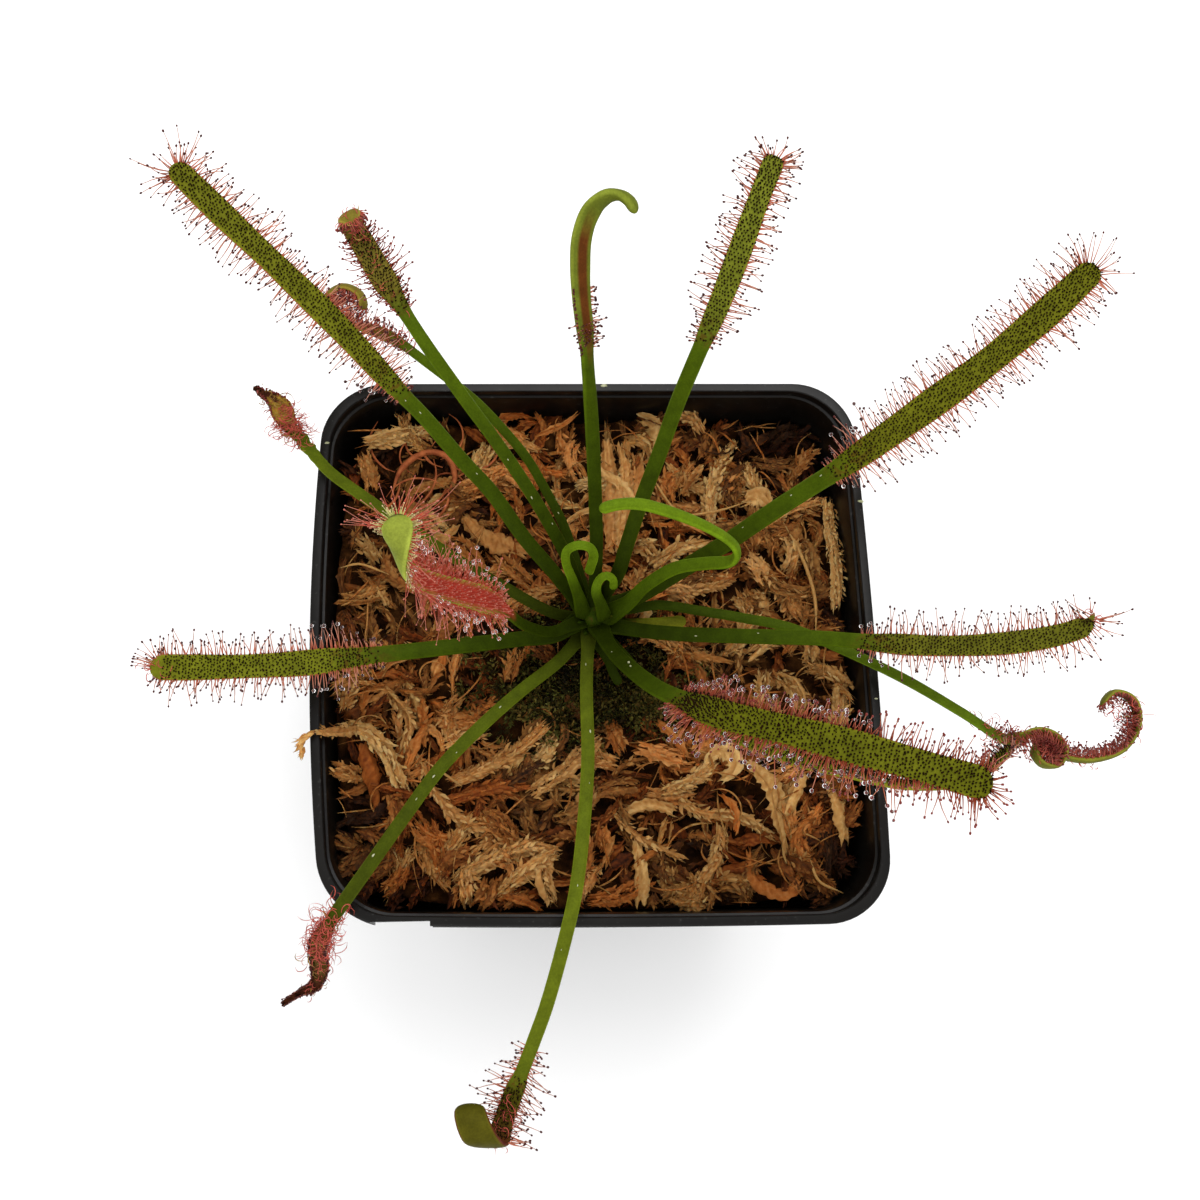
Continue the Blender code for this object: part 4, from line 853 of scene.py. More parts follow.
def wall_half(z):
    """Half width of the wall's outer face: a steep collar under the lip, a shoulder, then the taper."""
    collar_top = POT_TOP / 2 - LIP_WIDTH - BEAD_STEP + WALL
    if z >= COLLAR_Z:
        return collar_top - COLLAR_DRAFT * (POT_HEIGHT - z)
    taper_top = collar_top - COLLAR_DRAFT * (POT_HEIGHT - COLLAR_Z) - SHOULDER
    return POT_BASE / 2 + (taper_top - POT_BASE / 2) * z / COLLAR_Z


def corner_at(z):
    return CORNER_BASE + (CORNER_TOP_INSIDE - CORNER_BASE) * z / POT_HEIGHT


def outer_rows():
    """Rows of (half width, corner radius, height) up the outside of the wall."""
    levels = [FOOT_CHAMFER, *WALL_LEVELS, SHOULDER_Z - BEND_GAP, SHOULDER_Z, COLLAR_Z, COLLAR_Z + BEND_GAP,
              UNDER_LIP - BEND_GAP, UNDER_LIP]
    return [(wall_half(0) - FOOT_CHAMFER, CORNER_BASE - FOOT_CHAMFER, 0.0),
            (wall_half(0.2) - 0.25, CORNER_BASE, 0.2)] + [(wall_half(z), corner_at(z), z) for z in levels]


def lip_rows():
    """The same rows down the back of the folded lip, round its lower edge, and up to the rim."""
    half, skirt = POT_TOP / 2, POT_HEIGHT - SKIRT_DEPTH
    rows = [(half - WALL, CORNER_TOP - WALL, UNDER_LIP),
            (half - WALL + LIP_DRAFT, CORNER_TOP - WALL, skirt + 0.2),
            (half - WALL / 2 + LIP_DRAFT, CORNER_TOP, skirt),
            (half + LIP_DRAFT, CORNER_TOP, skirt + 0.2),
            (half + LIP_DRAFT, CORNER_TOP, skirt + 1.4),
            (half + LIP_DRAFT - 0.15, CORNER_TOP, skirt + 1.6)]
    for step in range(5):
        turn = step * math.pi / 8
        inset = LIP_ROUND * (1 - math.cos(turn))
        rows.append((half - inset, CORNER_TOP - inset, POT_HEIGHT - LIP_ROUND * (1 - math.sin(turn))))
    return rows


def inner_rows():
    """The same rows down the inside, past the bead under the lip."""
    top, bead_z = POT_TOP / 2 - LIP_WIDTH, POT_HEIGHT - BEAD_DROP
    rows = [(top + 0.12, CORNER_TOP_INSIDE, POT_HEIGHT),
            (top, CORNER_TOP_INSIDE, POT_HEIGHT - 0.12),
            (top - LIP_DRAFT, CORNER_TOP_INSIDE, bead_z + 0.1),
            (top - BEAD_STEP + 0.1, CORNER_TOP_INSIDE, bead_z),
            (top - BEAD_STEP, CORNER_TOP_INSIDE, bead_z - LIP_ROUND)]
    for z in (COLLAR_Z + BEND_GAP, COLLAR_Z, SHOULDER_Z, SHOULDER_Z - BEND_GAP, 30.0, FLOOR + 2):
        rows.append((wall_half(z) - WALL, corner_at(z) - WALL / 2, z))
    rows.append((wall_half(FLOOR) - WALL, CORNER_BASE - WALL, FLOOR))
    return rows


def cut_away(thing, cutter):
    """Cuts a shape out of a mesh for good."""
    boolean = thing.modifiers.new("cut", "BOOLEAN")
    boolean.operation = "DIFFERENCE"
    boolean.object = cutter
    bpy.context.view_layer.update()
    graph = bpy.context.evaluated_depsgraph_get()
    mesh = bpy.data.meshes.new_from_object(thing.evaluated_get(graph))
    thing.modifiers.clear()
    thing.data = mesh
    bpy.data.objects.remove(cutter, do_unlink=True)


def cut_notch(pot):
    """The shallow notch in the front of the lip."""
    low, high = NOTCH_X
    middle = (low + high) / 2
    inner = sprung((middle, -POT_TOP / 2, POT_HEIGHT))[1] + NOTCH_DEPTH
    place = (middle * MM, (inner - 3) * MM, (POT_HEIGHT - 3) * MM)
    bpy.ops.mesh.primitive_cube_add(size=1, location=place)
    bpy.context.object.scale = ((high - low) * MM, 6 * MM, 12 * MM)
    cut_away(pot, bpy.context.object)


def make_pot():
    rings = [square_ring(*row) for row in outer_rows() + lip_rows() + inner_rows()]
    pot = new_piece("pot_body", np.vstack(rings), tube_faces(len(rings), len(rings[0])), [plastic_material()])
    for x in (-HOLE_OFFSET, HOLE_OFFSET):
        for y in (-HOLE_OFFSET, HOLE_OFFSET):
            bpy.ops.mesh.primitive_cylinder_add(vertices=HOLE_SIDES, radius=HOLE_RADIUS * MM, depth=6 * MM,
                                                location=(x * MM, y * MM, 0))
            cut_away(pot, bpy.context.object)
    cut_notch(pot)
    pot.data.shade_smooth()
    pot.data.set_sharp_from_angle(angle=SHARP_ANGLE * DEG)
    settle(pot, "pot_plastic", "pot")


# Moss

def moss_bank(x, y):
    """How much the moss climbs near the walls."""
    rise = 0.0
    for side, distance in (("left", -x), ("right", x), ("back", y), ("front", -y)):
        climb = np.maximum(0.0, (distance - MOSS_BANK_FROM) / MOSS_BANK_RUN) ** 1.5
        rise = np.maximum(rise, MOSS_BANK[side] * climb)
    for middle_x, middle_y, half_x, half_y, share in MOSS_HOLLOWS:
        near = np.exp(-(((x - middle_x) / half_x) ** 2 + ((y - middle_y) / half_y) ** 2))
        rise = rise * (1 - share * near)
    return rise


def moss_top(x, y):
    """Height of the firm moss, higher round the crown and at the walls, and lumpy all over."""
    away = np.hypot(x - STEM[0], y - STEM[1])
    dome = (MOSS_CENTRE_Z - MOSS_EDGE_Z) * np.exp(-((away / MOSS_CROWN_SPREAD) ** 2))
    lumps = np.sin(0.31 * x + 0.9) * np.cos(0.27 * y) + 0.6 * np.sin(0.47 * x - 0.39 * y)
    return MOSS_EDGE_Z + dome + MOSS_BUMP * lumps * np.minimum(1.0, away / 10) + moss_bank(x, y)


def wander(x, y, size, seed):
    """A smooth field between about -1 and 1 whose lumps are about size millimetres."""
    total = 0.0
    rng = np.random.default_rng(seed)
    for _ in range(5):
        way = rng.uniform(0, TURN)
        pace = TURN / (size * rng.uniform(1.2, 3.0))
        total = total + np.sin(pace * (x * math.cos(way) + y * math.sin(way)) + rng.uniform(0, 6.3))
    return total / 2.5


def ground_square(z):
    """A square grid of points that fills the pot at a height."""
    span = np.linspace(-1, 1, GROUND_CELLS + 1)
    u, v = np.meshgrid(span, span, indexing="ij")
    squeeze = 1 - 0.085 * (abs(u) * abs(v)) ** 3
    half = wall_half(z) - WALL - GROUND_GAP
    return sprung(np.stack([u * half * squeeze, v * half * squeeze, np.full(u.shape, z)], axis=-1))


def make_ground():
    """The dark moss underneath, which shows in the gaps as painted shade: a block that fills the pot."""
    top = ground_square(MOSS_CENTRE_Z + 1.5)
    x, y = top[..., 0], top[..., 1]
    top[..., 2] = moss_top(x, y) - GROUND_DROP
    top[..., 2] += 0.7 * wander(x, y, 3.0, 5) + 0.3 * wander(x, y, 1.2, 6)
    index = np.arange(x.size).reshape(x.shape)
    faces = np.stack([index[:-1, :-1], index[1:, :-1], index[1:, 1:], index[:-1, 1:]], -1)
    faces = faces.reshape(-1, 4).tolist()
    edge = np.concatenate([index[:-1, 0], index[-1, :-1], index[:0:-1, -1], index[0, :0:-1]])
    points, above, first = [top.reshape(-1, 3)], edge, x.size
    for z in GROUND_LEVELS:
        below = first + np.arange(len(edge))
        faces += np.stack([above, below, np.roll(below, -1), np.roll(above, -1)], axis=1).tolist()
        points.append(ground_square(z).reshape(-1, 3)[edge])
        above = below
        first += len(edge)
    faces.append(list(above))
    ground = new_piece("moss_ground", np.vstack(points), faces, [ground_material()])
    settle(ground, "dry_sphagnum", "moss_bed")


class Shoots:
    """Leafy moss shoots and papery strips gathered into one mesh."""

    def __init__(self):
        self.points, self.faces, self.tone, self.rust = [], [], [], []
        self.count = 0

    def _keep(self, points, faces, tone, rust):
        self.points.append(points)
        self.faces.append(faces + self.count)
        self.tone.append(np.clip(tone, 0.02, 0.98))
        self.rust.append(np.clip(rust, 0, 1))
        self.count += len(points)

    def shoot(self, rng, points, width, tone, rust):
        """A soft core that twists, with pointed leaves along its sides."""
        self.sheet(rng, points, 1.15 * width, tone, rust, curl=(-0.7, -0.2))
        self.leaves(rng, points, width, tone + 0.04, rust)

    def leaves(self, rng, points, width, tone, rust, crowd=3.8, leaf=(1.2, 0.18), spread=(10, 56), taper=0.4,
               flat=0.45):
        """Leaves round a line; crowd is how many a millimetre, leaf the length and half width of one."""
        line = Line(points, spacing=0.5)
        number = max(8, int(line.length * crowd))
        share = (np.arange(number) + rng.uniform(0, 1, number)) / number
        place, along, side, up = line.at(share * line.length)
        turn = np.arange(number) * GOLDEN_TURN + rng.normal(0, 0.35, number)
        out = np.cos(turn)[:, None] * side + flat * np.sin(turn)[:, None] * up
        lean = rng.uniform(*spread, number) * DEG
        way = unit(along * np.cos(lean)[:, None] + out * np.sin(lean)[:, None])
        normal = unit(up * 0.7 + out * 0.6 + rng.normal(0, 0.25, way.shape))
        across = unit(np.cross(normal, way))
        normal = np.cross(way, across)
        size = 1 - taper * np.abs(2 * share - 0.8) ** 2
        size = np.clip(size, 0.35, 1.0) * rng.uniform(0.5, 1.35, number)
        long, wide = leaf[0] * size, leaf[1] * size * width
        foot = place + out * (0.45 * width * size)[:, None]
        ahead, aside, over = (SHOOT_LEAF[None, :, k:k + 1] for k in range(3))
        shape = (foot[:, None, :] + ahead * (way * long[:, None])[:, None, :]
                 + aside * (across * wide[:, None])[:, None, :]
                 + (over * rng.uniform(-1.4, 2.6, number)[:, None, None]
                    * (normal * long[:, None])[:, None, :]))
        shape = shape + rng.normal(0, 0.05, shape.shape)
        # Each leaf darker at its base as painted shade, and lighter the more it faces up: painted light from
        # above
        pale = tone + rng.normal(0, 0.08, number)[:, None] + 0.14 * (SHOOT_LEAF[None, :, 0] - 0.45)
        pale = pale + 0.1 * np.sin(turn)[:, None]
        self._keep(shape.reshape(-1, 3), repeated(SHOOT_FACES, len(SHOOT_LEAF), number), pale.reshape(-1),
                   np.repeat(rust + rng.normal(0, 0.12, number), len(SHOOT_LEAF)))

    def sheet(self, rng, points, width, tone, rust, curl=(-0.5, 0.5)):
        """A papery strip along a line that twists, creased lengthwise, with ragged ends and edges."""
        line = Line(points, spacing=0.5)
        rows = max(6, int(line.length / 0.4))
        share = np.linspace(0, 1, rows)
        place, along, side, up = line.at(share * line.length)
        twist = (rng.normal(0, 0.35) + rng.normal(0, 0.5) * share)[:, None]
        side, up = side * np.cos(twist) + up * np.sin(twist), up * np.cos(twist) - side * np.sin(twist)
        lobes = np.interp(share, np.linspace(0, 1, 7), rng.uniform(0.7, 1.3, 7))
        half = 0.5 * width * lobes * (0.55 + 0.45 * np.sin(math.pi * np.clip(share, 0.06, 0.94)))
        across = np.linspace(-1, 1, SHEET_COLUMNS)
        edge = np.where(np.abs(across) > 0.9, 1.0, 0.25)[None, :]
        reach = half[:, None] * (across[None, :] + edge * rng.normal(0, 0.16, (rows, SHEET_COLUMNS)))
        crease = np.cumsum(rng.normal(0, 0.09, (rows, SHEET_COLUMNS)), axis=0)
        crease = crease - np.linspace(0, 1, rows)[:, None] * crease[-1] + rng.normal(0, 0.13, SHEET_COLUMNS)
        lift = crease + rng.uniform(*curl) * half[:, None] * across[None, :] ** 2
        ends = np.zeros((rows, SHEET_COLUMNS))
        ends[0] = rng.uniform(-1.0, 0.6, SHEET_COLUMNS)
        ends[-1] = rng.uniform(-0.6, 1.2, SHEET_COLUMNS)
        shape = (place[:, None] + reach[..., None] * side[:, None] + lift[..., None] * up[:, None]
                 + ends[..., None] * along[:, None])
        corner = SHEET_COLUMNS * np.arange(rows - 1)[:, None] + np.arange(SHEET_COLUMNS - 1)[None, :]
        corner = corner.reshape(-1)
        near = np.stack([corner, corner + 1, corner + SHEET_COLUMNS + 1], axis=1)
        far = np.stack([corner, corner + SHEET_COLUMNS + 1, corner + SHEET_COLUMNS], axis=1)
        pale = tone + rng.normal(0, 0.07, SHEET_COLUMNS)[None, :] + rng.normal(0, 0.07, (rows, SHEET_COLUMNS))
        self._keep(shape.reshape(-1, 3), np.vstack([near, far]), pale.reshape(-1),
                   rust + rng.normal(0, 0.08, rows * SHEET_COLUMNS))

    def piece(self, name, material):
        return new_piece(name, np.vstack(self.points), np.vstack(self.faces).tolist(), [material],
                         tone=np.concatenate(self.tone), rust=np.concatenate(self.rust))


def inside_pot(point, margin):
    """Whether a point is clear of the pot's wall."""
    x, y, z = point
    half = wall_half(min(z, POT_HEIGHT)) - WALL - margin
    across = abs(x) - (INSIDE_LEFT if x < 0 else INSIDE_RIGHT)
    if across > half or abs(y) > half:
        return False
    straight = half - INSIDE_CORNER
    if across > straight and abs(y) > straight:
        return math.hypot(across - half + INSIDE_CORNER, abs(y) - half + INSIDE_CORNER) < INSIDE_CORNER
    return True


def loose_shoot(rng, x, y, way, length, lift, arch, count=6):
    """Points of a shoot that lies on the moss, curved sideways and arched, or None outside the pot."""
    bend = rng.normal(0, 0.16)
    step = length / (count - 1)
    points = []
    for i in range(count):
        share = i / (count - 1)
        height = moss_top(x, y) + lift + arch * math.sin(math.pi * share) + rng.normal(0, 0.2)
        if not inside_pot((x, y, height), 0.3):
            break
        points.append((x, y, height))
        x += step * math.cos(way)
        y += step * math.sin(way)
        way += bend * step
    return points if len(points) >= 3 else None


def in_green(x, y):
    """How far a place is in the damp green patch round the crown, 0 to 1."""
    away = ((x - GREEN_CENTRE[0]) / GREEN_HALF[0]) ** 2 + ((y - GREEN_CENTRE[1]) / GREEN_HALF[1]) ** 2
    return math.exp(-away ** 1.5)


def tone_and_shade_patch(x, y):
    """How much lighter or darker the moss is at a place, with painted shade in the corners and before the
    crown.
    """
    return sum(change * math.exp(-((x - at_x) / across) ** 2 - ((y - at_y) / along) ** 2)
               for at_x, at_y, across, along, change in MOSS_PATCHES)


def beside(points, offset):
    """The same points moved sideways by offset."""
    line = np.asarray(points)
    along = unit(np.gradient(line, axis=0))
    return line + offset * unit(np.cross(along, (0.0, 0.0, 1.0)))


def lay_dry_moss(rng, shoots, depth, lift, tones, lengths, papery, strands):
    """Tries one place for a dry shoot or strip, and tells whether the pot has room there."""
    x, y = rng.uniform(-MOSS_REACH, MOSS_REACH, 2)
    way = 2.4 * wander(x, y, *LIE_FIELD) + rng.normal(0, 0.8) + (math.pi if rng.random() < 0.5 else 0)
    points = loose_shoot(rng, x, y, way, rng.uniform(*lengths), lift + rng.normal(0, 0.45),
                         rng.uniform(0.2, 1.4))
    if not points:
        return False
    gap = depth > 0 and wander(x, y, *GAP_FIELD) < -0.5
    if gap or rng.random() < 0.92 * in_green(x, y):
        return True
    # Painted shade from the walls: darker towards them and into the corners
    painted_wall_shade = (max(0.0, max(abs(x), abs(y)) - WALL_SHADE_FROM) / SHADE_RUN
                 + max(0.0, math.hypot(x, y) - CORNER_SHADE_FROM) / SHADE_RUN)
    tone = rng.uniform(*tones) - 0.25 * in_green(x, y) + 0.1 * wander(x, y, *TONE_FIELD) - 0.25 * painted_wall_shade
    # Lighter and darker patches, with painted shade in the corners and in front of the crown
    tone += tone_and_shade_patch(x, y)
    rust = np.clip(0.72 - 0.18 * depth + 0.5 * wander(x, y, *RUST_FIELD) + rng.normal(0, 0.26), 0, 1)
    if rng.random() < papery:
        shoots.sheet(rng, points, rng.uniform(0.8, 2.0), tone, rust)
        return True
    for strand in range(strands):
        route = beside(points, (strand - 0.5 * (strands - 1)) * 1.1)
        shoots.shoot(rng, route, rng.uniform(0.7, 1.5), tone + rng.normal(0, 0.04), rust)
    return True


def make_sphagnum(material):
    """Layers of dry shoots and strips: dark ones deep down, their darkness painted shade, straw-coloured
    ropes of shoots on top.
    """
    for depth, (name, seed, number, *look) in enumerate(SPHAGNUM_LAYERS):
        rng = np.random.default_rng(seed)
        shoots = Shoots()
        made = 0
        while made < number:
            made += lay_dry_moss(rng, shoots, depth, *look)
        settle(shoots.piece(name, material), "dry_sphagnum")


def make_fibres(material):
    """Thin dry fibres scattered over the moss."""
    rng = np.random.default_rng(27)
    routes, radius = [], []
    while len(routes) < FIBRES:
        x, y = rng.uniform(-MOSS_REACH, MOSS_REACH, 2)
        points = loose_shoot(rng, x, y, rng.uniform(0, TURN), rng.uniform(3, 10), rng.uniform(0.2, 1.9),
                             rng.uniform(0.2, 1.2))
        if points and rng.random() > in_green(x, y):
            routes.append(points)
            radius.append(rng.uniform(0.06, 0.17))
    points, faces = tubes(routes, radius, sides=4, spacing=0.7)
    tone = rng.uniform(0.4, 0.9, len(points))
    rust = 0.5 + 0.5 * wander(points[:, 0], points[:, 1], *FIBRE_FIELD)
    settle(new_piece("moss_fibres", points, faces, [material], tone=tone, rust=rust), "dry_sphagnum")


def over_moss(places, rise):
    """Places on the moss as points over it, their ends lower than their middle."""
    last = len(places) - 1
    return [(x, y, float(moss_top(x, y)) + rise - (0.6 if i in (0, last) else 0.0))
            for i, (x, y) in enumerate(places)]


def raised(route, more=0.0):
    """Points from (x, y, height over the moss)."""
    return [(x, y, float(moss_top(x, y)) + rise + more) for x, y, rise in route]


def make_marked_moss(material):
    """The shoots, strips and threads that stand out in the photograph."""
    rng = np.random.default_rng(61)
    shoots = Shoots()
    for width, tone, rust, rise, places in MARKED_SHOOTS:
        route = over_moss(places, rise)
        shoots.shoot(rng, beside(route, -0.4), width, tone - 0.05, rust)
        shoots.shoot(rng, beside(route, 0.4), width, tone - 0.01, rust)
    for width, tone, rust, rise, places in MARKED_SHEETS:
        shoots.sheet(rng, over_moss(places, rise), width, tone, rust)
    settle(shoots.piece("sphagnum_marked", material), "dry_sphagnum")
    routes = [over_moss(places, rise) for _, rise, places in THREADS]
    points, faces = tubes(routes, [radius for radius, _, _ in THREADS], sides=5)
    tone, rust = np.full(len(points), 0.85), np.full(len(points), 0.15)
    settle(new_piece("moss_threads", points, faces, [material], tone=tone, rust=rust), "dry_sphagnum")


def tuft(rng, shoots, x, y):
    """A short upright shoot of live moss."""
    z = moss_top(x, y) - 1.0
    tilt = rng.normal(0, 0.5, 2)
    tall = rng.uniform(1.5, 2.9)
    points = [(x, y, z), (x + tilt[0] * tall / 2, y + tilt[1] * tall / 2, z + tall / 2),
              (x + tilt[0] * tall * 1.3, y + tilt[1] * tall * 1.3, z + tall)]
    # Painted shade: live moss darker close to the stem, under the rosette
    shade = 0.45 * math.exp(-((x - STEM[0]) ** 2 + (y - STEM[1] + 3) ** 2) / 60)
    shoots.leaves(rng, points, 0.8, rng.uniform(0.3, 0.95) - shade, rng.uniform(0, 0.6), crowd=6,
                  leaf=(1.1, 0.26), spread=(30, 70), flat=1.0)


def make_cushion():
    """Live green moss in front of the crown, and the thinner green growth that spreads from it."""
    rng = np.random.default_rng(41)
    finish = sphagnum_material("live_moss_finish", LIVE_MOSS)
    shoots, spread = Shoots(), Shoots()
    for _ in range(CUSHION_TUFTS):
        turn, reach = rng.uniform(0, TURN), 1.1 * math.sqrt(rng.uniform(0, 1))
        tuft(rng, shoots, CUSHION_CENTRE[0] + CUSHION_HALF[0] * reach * math.cos(turn),
             CUSHION_CENTRE[1] + CUSHION_HALF[1] * reach * math.sin(turn))
    settle(shoots.piece("live_moss_cushion", finish), "live_moss", "green_moss_cushion")
    made = 0
    while made < SPREAD_TUFTS:
        x, y = rng.uniform(-24, 18), rng.uniform(-17, 9)
        if rng.random() < in_green(x, y) and math.hypot(x - STEM[0], y - STEM[1]) > 2.2:
            tuft(rng, spread, x, y)
            made += 1
    settle(spread.piece("live_moss_spread", finish), "live_moss")


def make_strands(material):
    """The loose shoots that the CAD model has as solids of their own."""
    for number, (name, route) in enumerate(STRANDS.items()):
        rng = np.random.default_rng(50 + number)
        shoots = Shoots()
        shoots.shoot(rng, raised(route), 1.3, 0.75, 0.2 + 0.1 * (number % 3))
        settle(shoots.piece(name + "_shoot", material), "dry_sphagnum", name)
    rng = np.random.default_rng(60)
    shoots = Shoots()
    shoots.shoot(rng, RIM_STRAND[:4], 1.3, 0.75, 0.2)
    shoots.leaves(rng, RIM_STRAND[3:], 0.6, 0.9, 0.1, crowd=6, leaf=(1.7, 0.35), spread=(4, 14))
    settle(shoots.piece("rim_shoot", material), "dry_sphagnum", "moss_strand_over_rim")


def make_dead_leaf():
    """Rust-coloured shrivelled threads in loose loops."""
    finish = cloudy_material("dead_leaf_finish", 0.7, 0.15, 600, 3, (0.16, 0.03, 0.008), (0.42, 0.12, 0.035))
    rng = np.random.default_rng(71)
    main = raised(DEAD_LEAF, 0.9)
    routes, radius = [main], [0.5]
    for _ in range(DEAD_THREADS):
        points = [np.array(main[rng.integers(0, len(main))]) + rng.normal(0, 1.2, 3) * (1, 1, 0.3)]
        way = rng.uniform(0, TURN)
        curl = rng.choice((-1, 1)) * rng.uniform(0.25, 0.6)
        for _ in range(6):
            points.append(points[-1] + (1.7 * math.cos(way), 1.7 * math.sin(way), rng.normal(0, 0.25)))
            way += curl
        routes.append(points)
        radius.append(rng.uniform(0.12, 0.24))
    settle(new_piece("dead_leaf_threads", *tubes(routes, radius), [finish]), "dead_leaf_rust", "dead_leaf")


# Stem and leaves

def stem_radius(z):
    share = np.clip((z - STEM_BOTTOM_Z) / (STEM_TOP_Z - STEM_BOTTOM_Z), 0.0, None)
    return STEM_RADIUS_LOW + (STEM_RADIUS_TOP - STEM_RADIUS_LOW) * share**2


def by_stem(way, out, z):
    """The place at a distance from the middle of the stem, in the direction of an angle."""
    return STEM[0] + out * math.cos(way), STEM[1] + out * math.sin(way), z


def stem_wall():
    """Points and faces of the short stem, ridged lengthwise, with a rounded top."""
    heights = np.linspace(STEM_BOTTOM_Z, STEM_TOP_Z, STEM_RINGS)
    heights = np.concatenate([heights, [STEM_TOP_Z + 0.5, STEM_TOP_Z + 0.8]])
    turn = TURN * np.arange(STEM_SIDES) / STEM_SIDES
    rings = []
    for number, z in enumerate(heights):
        radius = stem_radius(min(z, STEM_TOP_Z)) + 0.12 * math.sin(2.3 * z)
        radius = radius * (1, 0.75, 0.3)[max(0, number - STEM_RINGS + 1)]
        wave = radius * (1 + 0.08 * np.sin(5 * turn + z))
        rings.append(np.column_stack([STEM[0] + wave * np.cos(turn), STEM[1] + wave * np.sin(turn),
                                      np.full(STEM_SIDES, z)]))
    return np.vstack(rings), tube_faces(len(rings), STEM_SIDES)


def make_stem():
    """The short stem with the brown scales of old leaf bases, and thin roots in the moss."""
    made, tree, shader = new_material("stem_finish", 0.6, 0.02)
    stops = [(0.3, (0.01, 0.018, 0.001)), (0.55, (0.02, 0.036, 0.001)), (0.85, (0.06, 0.03, 0.006))]
    paint(tree, shader, ramp(tree, noise(tree, 700, 4, stretch=(1, 1, 0.4)), stops))
    bumped(tree, shader, noise(tree, 1500), 0.5, 0.0003)
    points, faces = stem_wall()
    rng = np.random.default_rng(81)
    routes = [[by_stem(way * DEG, out, ROOT_Z - drop) for out, drop in ROOT_ROUTE] for way in ROOT_ANGLES]
    radius = [0.6] * len(routes)
    for number in range(SCALES):
        way, z = number * GOLDEN_TURN, SCALES_Z + 0.5 * number
        out, reach = float(stem_radius(z)), rng.uniform(1.2, 2.4)
        routes.append([by_stem(way, out - 0.3, z), by_stem(way, out + 0.5, z + 0.9),
                       by_stem(way, out + 0.5 * reach, z + reach)])
        radius.append(rng.uniform(0.25, 0.5))
    more, extra = tubes(routes, radius)
    stem = new_piece("stem_crown", np.vstack([points, more]), faces + shifted(extra, len(points)), [made])
    settle(stem, "stem_brown", "stem_and_roots")


def leaf_line(leaf):
    """The leaf's middle line, from beside the stem to its tip."""
    angle, height = leaf["base"]
    out = float(stem_radius(height)) + 0.75 if height <= STEM_TOP_Z else 1.6
    turns = [(at + 1, way) for at, way in leaf.get("face", [(0, (0, 0, 1))])]
    return Line([by_stem(angle * DEG, out, height)] + leaf["route"], turns)


def sunk_foot(leaf):
    """Where the leaf's foot ends inside the stem."""
    angle, height = leaf["base"]
    z = min(height, STEM_TOP_Z)
    return np.array(by_stem(angle * DEG, 0.35 * float(stem_radius(z)), z - 1.0))


def leaf_size(leaf, line, run):
    """Half width, half thickness and how far into the blade, at distances along the leaf."""
    mark = np.interp(run, line.run, line.mark)
    share = np.clip((mark - leaf["blade_from"]) / 1.2 + 0.5, 0, 1)
    ease = share * share * (3 - 2 * share)
    (stalk_w, stalk_t), (blade_w, blade_t) = leaf["petiole"], leaf["blade"]
    wide = (stalk_w + (blade_w - stalk_w) * ease) / 2
    thick = (stalk_t + (blade_t - stalk_t) * ease) / 2
    left = np.clip((line.length - run) / (0.55 * blade_w), 0, 1)
    tip = np.sqrt(np.clip(1 - (1 - left) ** 2, 0.0, 1))
    belly = 1 + 0.05 * np.sin(0.35 * run) * ease
    if "taper" in leaf:
        belly = belly * np.clip((line.length - run) / leaf["taper"], 0.28, 1)
    if "slim" in leaf:
        least, until, full = leaf["slim"]
        belly = belly * (1 - (1 - np.interp(mark, (until, full), (least, 1.0))) * ease)
    return wide * np.maximum(tip, 0.06) * belly, thick * np.maximum(tip, 0.1), ease


def leaf_rings(leaf, line, run, young):
    """Rings of points, each a flat oval that is hollow on its upper side, and what the colours need."""
    place, _, side, up = line.at(np.maximum(run, 0))
    sunk = sunk_foot(leaf)
    place[0], place[1] = sunk, (2 * line.place[0] + sunk) / 3
    wide, thick, ease = leaf_size(leaf, line, run)
    flare = 1 + (0.75 if young else 0.35) * np.exp(-((run + 1) / (5.0 if young else 2.5)) ** 2)
    wide, thick = wide * flare, thick * flare
    turn = TURN * (np.arange(LEAF_SIDES) + 0.5) / LEAF_SIDES
    flat = np.sign(np.cos(turn)) * np.abs(np.cos(turn)) ** 0.85
    tall = np.sin(turn)
    hollow = -(0.1 + 0.2 * ease)[:, None] * np.exp(-((flat / 0.55) ** 2))[None, :] * (tall > 0)
    height = np.where(tall > 0, 0.75 * tall, tall)[None, :] + hollow
    ring = (place[:, None] + (wide[:, None] * flat[None, :])[..., None] * side[:, None]
            + (thick[:, None] * height)[..., None] * up[:, None])
    return ring, {"run": np.repeat(np.clip(run / STALK_RUN, 0, 1), LEAF_SIDES),
                  "blade": np.repeat(ease, LEAF_SIDES),
                  "whole": np.repeat(np.clip(run / line.length, 0, 1), LEAF_SIDES),
                  "across": np.tile(np.abs(flat), len(run)), "upper": np.tile(tall > -0.2, len(run))}


def make_leaf(name, leaf, material, slot, bumpy=0.0):
    """A leaf's skin; bumpy is how much its end is shrivelled."""
    line = leaf_line(leaf)
    near_tip = line.length - 0.55 * leaf["blade"][0] * (1 - np.sin(np.linspace(0, math.pi / 2, 9)))
    run = np.concatenate([[-2.4, -1.2], np.arange(0, near_tip[0] - 0.2, LEAF_STEP), near_tip])
    ring, values = leaf_rings(leaf, line, run, name in YOUNG_LEAVES)
    if bumpy:
        rng = np.random.default_rng(len(name))
        shrink = bumpy * np.clip((run / line.length - 0.74) / 0.1, 0, 1)
        ring += rng.normal(0, 1, ring.shape) * shrink[:, None, None]
    faces = [face[::-1] for face in tube_faces(len(run), LEAF_SIDES)]
    settle(new_piece(name + "_skin", ring.reshape(-1, 3), faces, [material], **values), slot, name)
    return line


# Tentacles

